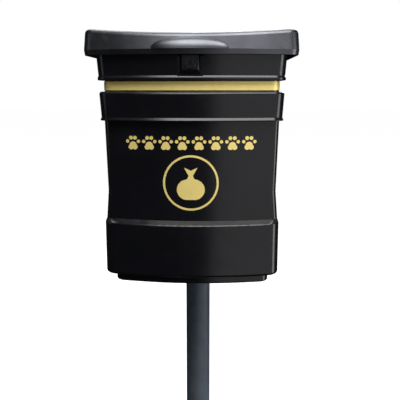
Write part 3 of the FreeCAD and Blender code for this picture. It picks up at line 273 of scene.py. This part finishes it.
def cast_metal(name, colour, worn_colour, gloss):
    """Coated casting: pebbly skin, with the metal showing where corners are rubbed."""
    s = Surface(name)
    pebble = s.noise(0.0016, detail=3, rough=0.6)
    cloud = s.noise(0.025, detail=4)
    worn = s.maths("MULTIPLY", s.edges(0.0018, 0.02, 0.22),
                   s.fit(s.noise(0.005, detail=6, rough=0.7), 0.5, 0.6))
    tint = s.blend(s.fit(cloud, 0.3, 0.7), colour, tuple(1.5 * c for c in colour))
    tint = s.blend(s.maths("MULTIPLY", worn, 0.8), tint, worn_colour)
    rough = s.fit(pebble, 0.2, 0.8, gloss, gloss + 0.2)
    s.bumps((cloud, 0.0002), (pebble, 0.0001))
    return s.finish(tint, rough, metallic=0.3)


def rubber():
    """Black rubber with a grey bloom and a fine pebbled skin."""
    s = Surface("rubber")
    pebble = s.noise(0.0012, detail=3)
    bloom = s.fit(s.noise(0.01, detail=5, rough=0.7), 0.4, 0.75)
    rub = s.maths("MULTIPLY", s.edges(0.0012), bloom)
    tint = s.blend(bloom, (0.012, 0.012, 0.0125), (0.035, 0.034, 0.033))
    tint = s.blend(s.maths("MULTIPLY", rub, 0.4), tint, (0.08, 0.078, 0.075))
    s.bumps((pebble, 0.00008))
    return s.finish(tint, s.fit(bloom, 0.0, 1.0, 0.55, 0.78))


BLACK = moulded_plastic("black_plastic", (0.0035, 0.0036, 0.005), (0.03, 0.031, 0.035), 0.2,
                        0.0004)
LID = moulded_plastic("lid_plastic", (0.098, 0.1, 0.11), (0.2, 0.202, 0.22), 0.34, 0.0003,
                      metallic=1.0)
GOLD = gold_film()
POST = powder_coat("post_paint", (0.085, 0.108, 0.134), (0.16, 0.14, 0.12), 0.32)
PLATE = powder_coat("plate_paint", (0.08, 0.1, 0.122), (0.17, 0.13, 0.10), 0.16)
CLAMP = cast_metal("clamp_metal", (0.022, 0.024, 0.028), (0.42, 0.43, 0.44), 0.42)
GALVANISED = galvanised()
ZINC = plated_steel("zinc_steel", (0.62, 0.63, 0.65), 0.26)
STAINLESS = plated_steel("stainless", (0.60, 0.60, 0.60), 0.2, along=(0.04, 1, 1))
LOCK = cast_metal("lock_metal", (0.003, 0.003, 0.004), (0.12, 0.115, 0.11), 0.18)
RUBBER = rubber()

SLOT_MATERIALS = {
    "black_plastic": BLACK, "lid_plastic": LID, "gold_film": GOLD, "post_paint": POST,
    "plate_paint": PLATE, "clamp_metal": CLAMP, "galvanised": GALVANISED, "zinc_steel": ZINC,
    "stainless": STAINLESS, "lock_metal": LOCK, "rubber": RUBBER,
}
for node, slot in SLOTS.items():
    mesh = NODES[node].data
    mesh.materials.clear()
    mesh.materials.append(SLOT_MATERIALS[slot])


# ---------------------------------------------------------------- mesh helpers


SMALL_SIDES, CAP_SIDES, BOLT_SIDES = 24, 32, 48
THREAD_PITCH, THREAD_DEPTH, THREAD_CHAMFER, THREAD_STEPS = 1.25, 0.6, 0.8, 5
SHARP_ANGLE = math.radians(32)
BEVEL_ANGLE = math.radians(35)
WELD_GAP = 0.01


def along(axis, origin):
    """A placement whose local Z runs along an axis of the frame, from an origin."""
    z = Vector(axis)
    x = Vector((0, 0, 1)) if abs(z.x) > 0.5 else Vector((1, 0, 0))
    turn = Matrix((x, z.cross(x), z)).transposed().to_4x4()
    return Matrix.Translation(origin) @ turn


def angles(count):
    """Equal steps round a full turn."""
    return [2 * math.pi * k / count for k in range(count)]


def ring(place, height, reaches):
    """A loop of points round local Z at a height, one for each reach, from millimetres."""
    return [place @ (MM * Vector((reach * math.cos(angle), reach * math.sin(angle), height)))
            for angle, reach in zip(angles(len(reaches)), reaches)]


def skin(bm, loops, closed=False):
    """Faces between loops of points, with flat ends, or joined end to end."""
    rows = [[bm.verts.new(point) for point in loop] for loop in loops]
    pairs = list(zip(rows, rows[1:]))
    if closed:
        pairs.append((rows[-1], rows[0]))
    else:
        bm.faces.new(reversed(rows[0]))
        bm.faces.new(rows[-1])
    for low, high in pairs:
        for k in range(len(low)):
            bm.faces.new((low[k - 1], low[k], high[k], high[k - 1]))


def hexagon(angle, corner):
    """How far a hexagon with that corner radius reaches in a direction."""
    return corner * math.cos(math.pi / 6) / math.cos(angle % (math.pi / 3) - math.pi / 6)


def turned(bm, place, profile, count=BOLT_SIDES, closed=False):
    """A body turned about local Z, in millimetres. A step of the profile is (along, radius), or
    (along, radius, corner) where a hexagon with that corner radius limits the reach."""
    loops = []
    for height, radius, *corners in profile:
        reaches = [min([radius] + [hexagon(angle, corner) for corner in corners])
                   for angle in angles(count)]
        loops.append(ring(place, height, reaches))
    skin(bm, loops, closed)


def thread_reach(angle, height, end, radius):
    """How far a thread that is chamfered towards its end reaches in a direction."""
    phase = (height / THREAD_PITCH - angle / (2 * math.pi)) % 1
    flank = radius - THREAD_DEPTH * abs(2 * phase - 1)
    return min(flank, radius - THREAD_DEPTH + THREAD_CHAMFER * (end - height))


def threaded(bm, place, start, end, radius):
    """A screw thread between two heights, in millimetres."""
    steps = round(THREAD_STEPS * (end - start) / THREAD_PITCH)
    loops = []
    for k in range(steps + 1):
        height = start + (end - start) * k / steps
        loops.append(ring(place, height, [thread_reach(angle, height, end, radius)
                                          for angle in angles(SMALL_SIDES)]))
    skin(bm, loops)


def piece(name, bm, body, slot, *stands_for):
    """Makes a shaded object of the mesh that rides on a body and may stand for CAD nodes."""
    bmesh.ops.recalc_face_normals(bm, faces=bm.faces)
    mesh = bpy.data.meshes.new(name)
    bm.to_mesh(mesh)
    bm.free()
    mesh.shade_smooth()
    mesh.set_sharp_from_angle(angle=SHARP_ANGLE)
    mesh.materials.append(SLOT_MATERIALS[slot])
    made = bpy.data.objects.new(name, mesh)
    bpy.context.scene.collection.objects.link(made)
    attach(made, body)
    if stands_for:
        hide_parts(*stands_for)


def soften(width, *names):
    """Rounds the sharp edges of CAD nodes by a width in millimetres."""
    for name in names:
        stack = NODES[name].modifiers
        stack.new("weld", "WELD").merge_threshold = WELD_GAP * MM
        bevel = stack.new("bevel", "BEVEL")
        bevel.width = width * MM
        bevel.segments = 2
        bevel.limit_method = "ANGLE"
        bevel.angle_limit = BEVEL_ANGLE
        normals = stack.new("normals", "WEIGHTED_NORMAL")
        normals.keep_sharp = False


# ---------------------------------------------------------------- fasteners


M8_CORNER, M8_RADIUS, M8_THREAD = 7.2, 3.95, 12
M8_HEAD, M8_NUT = 5.3, 6.5
WASHER_FACE = 6.05
BACKING_THICK = 2.0
SCREW_RADIUS, WASHER_THICK, WASHER_MARGIN = 4.2, 1.0, 2.3
RIVET_HEAD, RIVET_RISE, RIVET_SHANK = 4, 1.5, 2
EAR_THICK = 2.5
CAP_RADIUS = 6
FOOT_RADIUS = 6


def extent(node):
    """A CAD node's lowest and highest corners, in millimetres."""
    low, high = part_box(node)
    return Vector(low) / MM, Vector(high) / MM


def facing(axis, x, y, z):
    """A placement at a point in millimetres, with local Z along an axis of the frame."""
    return along(axis, MM * Vector((x, y, z)))


def hex_bolt(bm, x, y, z, way, length):
    """A bolt whose head starts at y; way is the Y direction in which its shank points."""
    place = facing((0, way, 0), x, y, z)
    corner = M8_CORNER
    turned(bm, place, [(0.5, 2.6), (0.25, 3.1), (0, 3.6), (0, 5.9, corner), (0.35, 6.5, corner),
                       (1.0, corner, corner), (M8_HEAD - 0.7, corner, corner),
                       (M8_HEAD - 0.35, 6.6, corner), (M8_HEAD - 0.3, WASHER_FACE, corner),
                       (M8_HEAD, WASHER_FACE, corner)])
    smooth = length - M8_THREAD
    turned(bm, place, [(M8_HEAD - 0.4, M8_RADIUS), (smooth, M8_RADIUS)], count=SMALL_SIDES)
    threaded(bm, place, smooth - 0.2, length, M8_RADIUS)


def hex_nut(bm, x, y, z, way):
    """A nut that bears at y and stands off in the Y direction of way."""
    place = facing((0, way, 0), x, y, z)
    corner, bore = M8_CORNER, 4.0
    turned(bm, place, [(0, bore + 0.4), (0, WASHER_FACE, corner), (0.3, WASHER_FACE, corner),
                       (0.35, 6.6, corner), (0.8, corner, corner),
                       (M8_NUT - 1.0, corner, corner), (M8_NUT - 0.35, 6.5, corner),
                       (M8_NUT, 5.9, corner), (M8_NUT, bore + 0.5), (M8_NUT - 0.5, bore),
                       (0.4, bore)], closed=True)


def clamp_levels():
    """The heights of the two clamps' middles."""
    return [sum(corner[2] for corner in extent(node)) / 2
            for node in ("upper_bracket", "lower_bracket")]


def clamp_fasteners():
    """Bolts that draw each strap to its bracket, headed at the back of the strap."""
    low, high = extent("clamp_bolts")
    side = high[0] - M8_CORNER
    bearing = extent("clamp_nuts")[1][1]
    bolts, nuts = bmesh.new(), bmesh.new()
    for x in (-side, side):
        for z in clamp_levels():
            hex_bolt(bolts, x, high[1], z, -1, high[1] - low[1])
            hex_nut(nuts, x, bearing, z, -1)
    piece("bolts_clamp", bolts, "stand", "zinc_steel", "clamp_bolts")
    piece("nuts_clamp", nuts, "stand", "zinc_steel", "clamp_nuts")


def mounting_fasteners():
    """Bolts through the body's back wall. The lower ones start further back, with their plate."""
    low, high = extent("mounting_bolts")
    side = high[0] - M8_CORNER
    bearing = extent("mounting_nuts")[0][1]
    plates = extent("backing_plates")
    step_back = plates[1][1] - plates[0][1] - BACKING_THICK
    bolts, nuts = bmesh.new(), bmesh.new()
    for x in (-side, side):
        for z, start in zip(clamp_levels(), (low[1], low[1] + step_back)):
            hex_bolt(bolts, x, start, z, 1, high[1] - start)
            hex_nut(nuts, x, bearing, z, 1)
    piece("bolts_mounting", bolts, "stand", "zinc_steel", "mounting_bolts")
    piece("nuts_mounting", nuts, "stand", "zinc_steel", "mounting_nuts")


def socket_screw(bm, place, radius, height, foot=0.0):
    """A domed screw head with a hexagonal drive, standing on an optional washer."""
    drive = 0.45 * radius
    steps = [(foot, radius - 0.2), (foot + 0.2, radius), (0.68 * height, radius),
             (0.88 * height, 0.88 * radius), (height, 0.66 * radius), (height, drive + 0.15),
             (height - 0.15, drive, drive), (0.45 * height, drive, drive)]
    if foot:
        wide = radius + WASHER_MARGIN
        steps = [(0, wide - 0.2), (0.2, wide), (foot - 0.2, wide), (foot, wide - 0.2)] + steps
    turned(bm, place, steps)


def screws():
    """The cam's and the keeper's screw heads."""
    low, high = extent("cam_screw")
    middle = (low + high) / 2
    bm = bmesh.new()
    socket_screw(bm, facing((0, 1, 0), middle[0], low[1], middle[2]), SCREW_RADIUS,
                 high[1] - low[1], foot=WASHER_THICK)
    piece("screw_cam", bm, "lock", "zinc_steel", "cam_screw")

    low, high = extent("keeper_screws")
    radius = (high[0] - low[0]) / 2
    bm = bmesh.new()
    for z in (low[2] + radius, high[2] - radius):
        socket_screw(bm, facing((0, 1, 0), low[0] + radius, low[1], z), radius,
                     high[1] - low[1])
    piece("screws_keeper", bm, "stand", "zinc_steel", "keeper_screws")


def rivets():
    """Domed rivets through the liner's wall and ears."""
    low, high = extent("liner_rivets")
    radius = (high[2] - low[2]) / 2
    inside = extent("liner_ears")[1][0] - EAR_THICK - RIVET_RISE
    reach = high[0] - inside
    dome = [(0, 1.4), (0.35, 2.8), (0.9, 3.7), (RIVET_RISE, RIVET_HEAD),
            (RIVET_RISE, RIVET_SHANK)]
    far_dome = [(reach - height, size) for height, size in reversed(dome)]
    bm = bmesh.new()
    for side in (-1, 1):
        for y in (low[1] + radius, high[1] - radius):
            place = facing((side, 0, 0), side * inside, y, low[2] + radius)
            turned(bm, place, dome + far_dome, count=SMALL_SIDES)
    piece("rivets_liner", bm, "stand", "zinc_steel", "liner_rivets")


def rod_caps():
    """Domed push-on caps at the ends of both hinge rods."""
    for node, body in (("hood_hinge_rod_caps", "stand"), ("lid_hinge_rod_caps", "hood")):
        low, high = extent(node)
        middle = (low + high) / 2
        bm = bmesh.new()
        for side in (-1, 1):
            place = facing((side, 0, 0), side * (high[0] - CAP_RADIUS), middle[1], middle[2])
            turned(bm, place, [(0, 5.5), (0.3, CAP_RADIUS), (1.5, CAP_RADIUS), (1.9, 5.4),
                               (3.8, 5.2), (5.0, 4.3), (5.7, 2.9), (6, 1.2)], count=CAP_SIDES)
        piece(node.replace("_caps", "_domes"), bm, body, SLOTS[node], node)


def lid_feet():
    """Rubber feet with a flange, a waist and a dished top."""
    low, high = extent("lid_buffers")
    top = high[2] - low[2]
    wide = FOOT_RADIUS
    profile = [(0, 5.8), (0.3, wide), (1.6, wide), (2.2, 5.4), (3, 5.1), (top - 4.4, 5.1),
               (top - 3.6, 5.6), (top - 3.2, wide), (top - 0.8, wide), (top - 0.2, 5.6),
               (top, 5.0), (top, 3.0), (top - 0.6, 2.5), (top - 2.2, 2.4)]
    bm = bmesh.new()
    for x in (low[0] + wide, high[0] - wide):
        for y in (low[1] + wide, high[1] - wide):
            turned(bm, facing((0, 0, 1), x, y, low[2]), profile, count=CAP_SIDES)
    piece("feet_lid", bm, "hood", SLOTS["lid_buffers"], "lid_buffers")


# ---------------------------------------------------------------- liner and grip


BOW_RADIUS = 600
LINER_LOW, LINER_HIGH, LINER_SHEET = 614.0, 982.0, 1.2
LINER_WIDTH, LINER_FRONT, LINER_BACK, LINER_CORNER = 296, -316, -76, 24
WIDEN, FRONT_DRAFT, BACK_DRAFT = 8, 5, 6
BEAD_LEVELS = (702, 905)
LAP_LOW, LAP_HIGH, LAP_HALF, LAP_PROUD = 641, 968, 7, 0.7
GRIP_BORE, GRIP_RADIUS, GRIP_COLLAR, GRIP_RIBS = 3.02, 7, 6.2, 11


def bowed_plan(width, front, back, corner, steps=7, front_steps=14):
    """An outline with straight sides and back and a bowed front, in millimetres."""
    across = width / 2 - corner
    bow_y = front + BOW_RADIUS
    along_y = bow_y - math.sqrt((BOW_RADIUS - corner) ** 2 - across ** 2)
    lean = math.atan2(across, bow_y - along_y)
    right = [(BOW_RADIUS * math.sin(lean * k / front_steps),
              bow_y - BOW_RADIUS * math.cos(lean * k / front_steps))
             for k in range(front_steps + 1)]
    for k in range(1, steps + 1):
        turn = lean + (math.pi / 2 - lean) * k / steps
        right.append((across + corner * math.sin(turn), along_y - corner * math.cos(turn)))
    for k in range(steps + 1):
        turn = math.pi / 2 * k / steps
        right.append((across + corner * math.cos(turn), back - corner + corner * math.sin(turn)))
    left = [(-x, y) for x, y in reversed(right[1:])]
    return right + left


def liner_share(height):
    """How far up the liner a height is, from 0 to 1."""
    return (height - LINER_LOW) / (LINER_HIGH - LINER_LOW)


def liner_loop(height, outward):
    """The tapering wall's outline at a height, moved outward, in metres."""
    share = liner_share(height)
    plan = bowed_plan(LINER_WIDTH + WIDEN * share + 2 * outward,
                      LINER_FRONT - FRONT_DRAFT * share - outward,
                      LINER_BACK + BACK_DRAFT * share + outward, LINER_CORNER + outward)
    return [MM * Vector((x, y, height)) for x, y in plan]


def liner():
    """A sheet bucket with a rolled rim, two pressed beads and a lapped seam at the back."""
    low, high, sheet = LINER_LOW, LINER_HIGH, LINER_SHEET
    bead = ((-7, 0), (-4.5, 0.5), (-2.2, 1.3), (0, 1.7), (2.2, 1.3), (4.5, 0.5), (7, 0))
    outside = [(low, -5), (low, -3), (low + 0.9, -0.9), (low + 3, 0), (low + 12, 0)]
    outside += [(level + rise, out) for level in BEAD_LEVELS for rise, out in bead]
    outside += [(high - 9, 0), (high - 4.6, 0)]
    roll = [(high - 4.4, 1.2), (high - 3.4, 3.1), (high - 2, 4), (high - 0.7, 3.5), (high, 2.0),
            (high, 0.6), (high - 0.7, -0.8)]
    inside = [(height, out - sheet) for height, out in reversed(outside[3:])]
    inside += [(low + sheet + 0.9, -0.9 - sheet), (low + sheet, -3 - sheet),
               (low + sheet, -5 - sheet)]
    bm = bmesh.new()
    skin(bm, [liner_loop(height, out) for height, out in outside + roll + inside])
    skin(bm, lapped_seam())
    piece("liner_bucket", bm, "stand", SLOTS["liner"], "liner")


def lapped_seam():
    """Sections of the flat strip that closes the bucket's back, on the inside of its sheet."""
    sections = [(LAP_LOW - 1, LAP_HALF - 2, 0.1)]
    sections += [(height, LAP_HALF, LAP_PROUD)
                 for height in (LAP_LOW, 690, 700, 780, 850, LAP_HIGH)]
    sections += [(LAP_HIGH + 1, LAP_HALF - 2, 0.1)]
    loops = []
    for height, half, proud in sections:
        face = LINER_BACK + BACK_DRAFT * liner_share(height) - LINER_SHEET
        loops.append([MM * Vector((x, face + y, height)) for x, y in
                      ((-half, 0.4), (-half, 0.3 - proud), (-half + 1, -proud),
                       (half - 1, -proud), (half, 0.3 - proud), (half, 0.4))])
    return loops


def grip():
    """A ribbed tube round the handle's bar."""
    low, high = extent("handle_grip")
    middle = (low + high) / 2
    length = high[0] - low[0]
    outer = [(0, 4.2), (0.5, 6.4), (1.3, GRIP_RADIUS), (4.4, GRIP_RADIUS), (5.2, 6.3)]
    pitch = (length - 2 * GRIP_COLLAR) / GRIP_RIBS
    for k in range(GRIP_RIBS):
        start = GRIP_COLLAR + k * pitch
        outer += [(start + share * pitch, radius) for share, radius in
                  ((0.10, 6.0), (0.28, 6.75), (0.5, 6.95), (0.72, 6.75), (0.90, 6.0))]
    outer += [(length - height, radius) for height, radius in reversed(outer[:5])]
    bm = bmesh.new()
    turned(bm, facing((1, 0, 0), low[0], middle[1], middle[2]),
           outer + [(length, GRIP_BORE), (0, GRIP_BORE)], count=CAP_SIDES, closed=True)
    piece("grip_ribbed", bm, "handle", SLOTS["handle_grip"], "handle_grip")


# ---------------------------------------------------------------- welds


GUSSET_HALF = 4.0
POST_BEAD, PLATE_BEAD, UPRIGHT_BEAD = 3.2, 2.4, 2.2
BEAD_SIDES, POST_BEAD_STEPS = 8, 44


def weld_bead(bm, centres, size):
    """A rippled bead of weld along a path, in millimetres, that tapers at both ends."""
    last = len(centres) - 1
    loops = []
    for k, centre in enumerate(centres):
        heading = (centres[min(k + 1, last)] - centres[max(k - 1, 0)]).normalized()
        across = heading.orthogonal().normalized()
        turn = heading.cross(across)
        ripple = 0.86 + 0.14 * abs(math.sin(math.pi * k / 3))
        ripple += 0.10 * noise.noise(centre * 0.4)
        ripple *= min(1.0, 0.45 + 0.2 * min(k, last - k))
        loops.append([MM * (centre + size * ripple * (math.cos(angle) * across
                                                       + math.sin(angle) * turn))
                      for angle in angles(BEAD_SIDES)])
    skin(bm, loops)


def welds():
    """Beads that join the post, its gussets and the base plate."""
    plate_top = extent("base_plate")[1][2]
    post = extent("post")[1][0]
    reach, _, rise = extent("base_gussets")[1]
    clear = math.asin((GUSSET_HALF + 2) / post)
    span = math.pi / 2 - 2 * clear
    arc = [clear + span * k / POST_BEAD_STEPS for k in range(POST_BEAD_STEPS + 1)]
    bm = bmesh.new()
    for quarter in range(4):
        turn = Matrix.Rotation(quarter * math.pi / 2, 3, "Z")
        weld_bead(bm, [turn @ Vector(((post + 1.2) * math.cos(angle),
                                      (post + 1.2) * math.sin(angle), plate_top + 1.2))
                       for angle in arc], POST_BEAD)
        for side in (-1, 1):
            offset = side * (GUSSET_HALF + 0.6)
            weld_bead(bm, [turn @ Vector((post + 2.5 + k, offset, plate_top + 0.7))
                           for k in range(int(reach - post - 5))], PLATE_BEAD)
            weld_bead(bm, [turn @ Vector((post + 0.2, offset, plate_top + 3 + k))
                           for k in range(int(rise - plate_top - 8))], UPRIGHT_BEAD)
    piece("weld_beads", bm, "stand", SLOTS["base_plate"])


clamp_fasteners()
mounting_fasteners()
screws()
rivets()
rod_caps()
lid_feet()
liner()
grip()
welds()
soften(0.8, "upper_bracket", "lower_bracket", "upper_strap", "lower_strap", "base_gussets")
soften(0.5, "backing_plates", "keeper", "lock_cam", "liner_ears", "lock_nut", "hood_buffers")
soften(0.3, "lock_barrel", "lock_plug", "hood_hinge_rod", "lid_hinge_rod")


# ---------------------------------------------------------------- floor, light and camera


FLOOR_HALF = 30
FLOOR_GREY, FLOOR_GLOW = 0.3, 0.985
UNSEEN_COLOUR, UNSEEN_STRENGTH = (0.9, 0.95, 1.0, 1), 0.022
BIN_MIDDLE = Vector((0, -0.19, 0.85))
CAMERA_PLACE = (0.062, -1.476, 0.975)
CAMERA_YAW = math.radians(2.21)
CAMERA_DROP = math.radians(10.44)


def floor():
    """A plain pale floor that glows enough to merge with the background."""
    half = FLOOR_HALF
    mesh = bpy.data.meshes.new("floor")
    mesh.from_pydata([(-half, -half, 0), (half, -half, 0), (half, half, 0), (-half, half, 0)],
                     [], [(0, 1, 2, 3)])
    ground = bpy.data.objects.new("floor", mesh)
    bpy.context.scene.collection.objects.link(ground)
    ground.visible_glossy = False
    ground.visible_diffuse = False
    ground.visible_shadow = False
    material = bpy.data.materials.new("floor")
    material.use_nodes = True
    shader = material.node_tree.nodes["Principled BSDF"]
    shader.inputs["Base Color"].default_value = (FLOOR_GREY, FLOOR_GREY, FLOOR_GREY, 1)
    shader.inputs["Roughness"].default_value = 0.9
    shader.inputs["Specular IOR Level"].default_value = 0.0
    shader.inputs["Emission Color"].default_value = (1, 1, 1, 1)
    shader.inputs["Emission Strength"].default_value = FLOOR_GLOW
    mesh.materials.append(material)


def background():
    """White where the camera sees it, and nearly dark where the bin would reflect it."""
    world = bpy.data.worlds.new("studio")
    bpy.context.scene.world = world
    world.use_nodes = True
    tree = world.node_tree
    tree.nodes.clear()
    seen = tree.nodes.new("ShaderNodeBackground")
    seen.inputs[0].default_value = (1, 1, 1, 1)
    unseen = tree.nodes.new("ShaderNodeBackground")
    unseen.inputs[0].default_value = UNSEEN_COLOUR
    unseen.inputs[1].default_value = UNSEEN_STRENGTH
    path = tree.nodes.new("ShaderNodeLightPath")
    mix = tree.nodes.new("ShaderNodeMixShader")
    out = tree.nodes.new("ShaderNodeOutputWorld")
    tree.links.new(path.outputs["Is Camera Ray"], mix.inputs[0])
    tree.links.new(unseen.outputs[0], mix.inputs[1])
    tree.links.new(seen.outputs[0], mix.inputs[2])
    tree.links.new(mix.outputs[0], out.inputs["Surface"])


def softbox(name, azimuth, elevation, distance, size, power):
    """A rectangular light aimed at the bin. Azimuth 0 is in front, 90 on the +X side."""
    light = bpy.data.lights.new(name, "AREA")
    light.shape = "RECTANGLE"
    light.size, light.size_y = size
    light.energy = power
    lamp = bpy.data.objects.new(name, light)
    lamp.visible_camera = False
    bpy.context.scene.collection.objects.link(lamp)
    around, up = math.radians(azimuth), math.radians(elevation)
    away = Vector((math.sin(around) * math.cos(up), -math.cos(around) * math.cos(up),
                   math.sin(up)))
    lamp.location = BIN_MIDDLE + distance * away
    lamp.rotation_euler = away.to_track_quat("Z", "Y").to_euler()


def camera():
    """A camera a little above the lid, to the right of the middle and looking down."""
    lens = bpy.data.cameras.new("camera")
    lens.lens, lens.sensor_width = 54, 36
    eye = bpy.data.objects.new("camera", lens)
    bpy.context.scene.collection.objects.link(eye)
    eye.location = CAMERA_PLACE
    turn = Matrix.Rotation(CAMERA_YAW, 4, "Z")
    tilt = Matrix.Rotation(math.pi / 2 - CAMERA_DROP, 4, "X")
    eye.rotation_euler = (turn @ tilt).to_euler()
    bpy.context.scene.camera = eye


floor()
background()
# angles in degrees, distance and size in metres, power in watts
softbox("panel", 36, -8, 2.4, (2.5, 2.6), 12.4)
softbox("brow", -4, 20, 2.4, (1.5, 0.8), 3.4)
softbox("key", 20, 56, 2.4, (2.6, 1.8), 98)
softbox("top", 180, 65, 2.2, (2.2, 1.0), 35)
softbox("side", 80, -4, 2.4, (0.7, 2.0), 17)
softbox("rear", 165, 28, 2.6, (1.6, 1.6), 60)
softbox("left", 285, 12, 2.6, (0.5, 1.6), 2)
camera()
scene = bpy.context.scene
scene.view_settings.view_transform = "Standard"
scene.view_settings.look = "None"
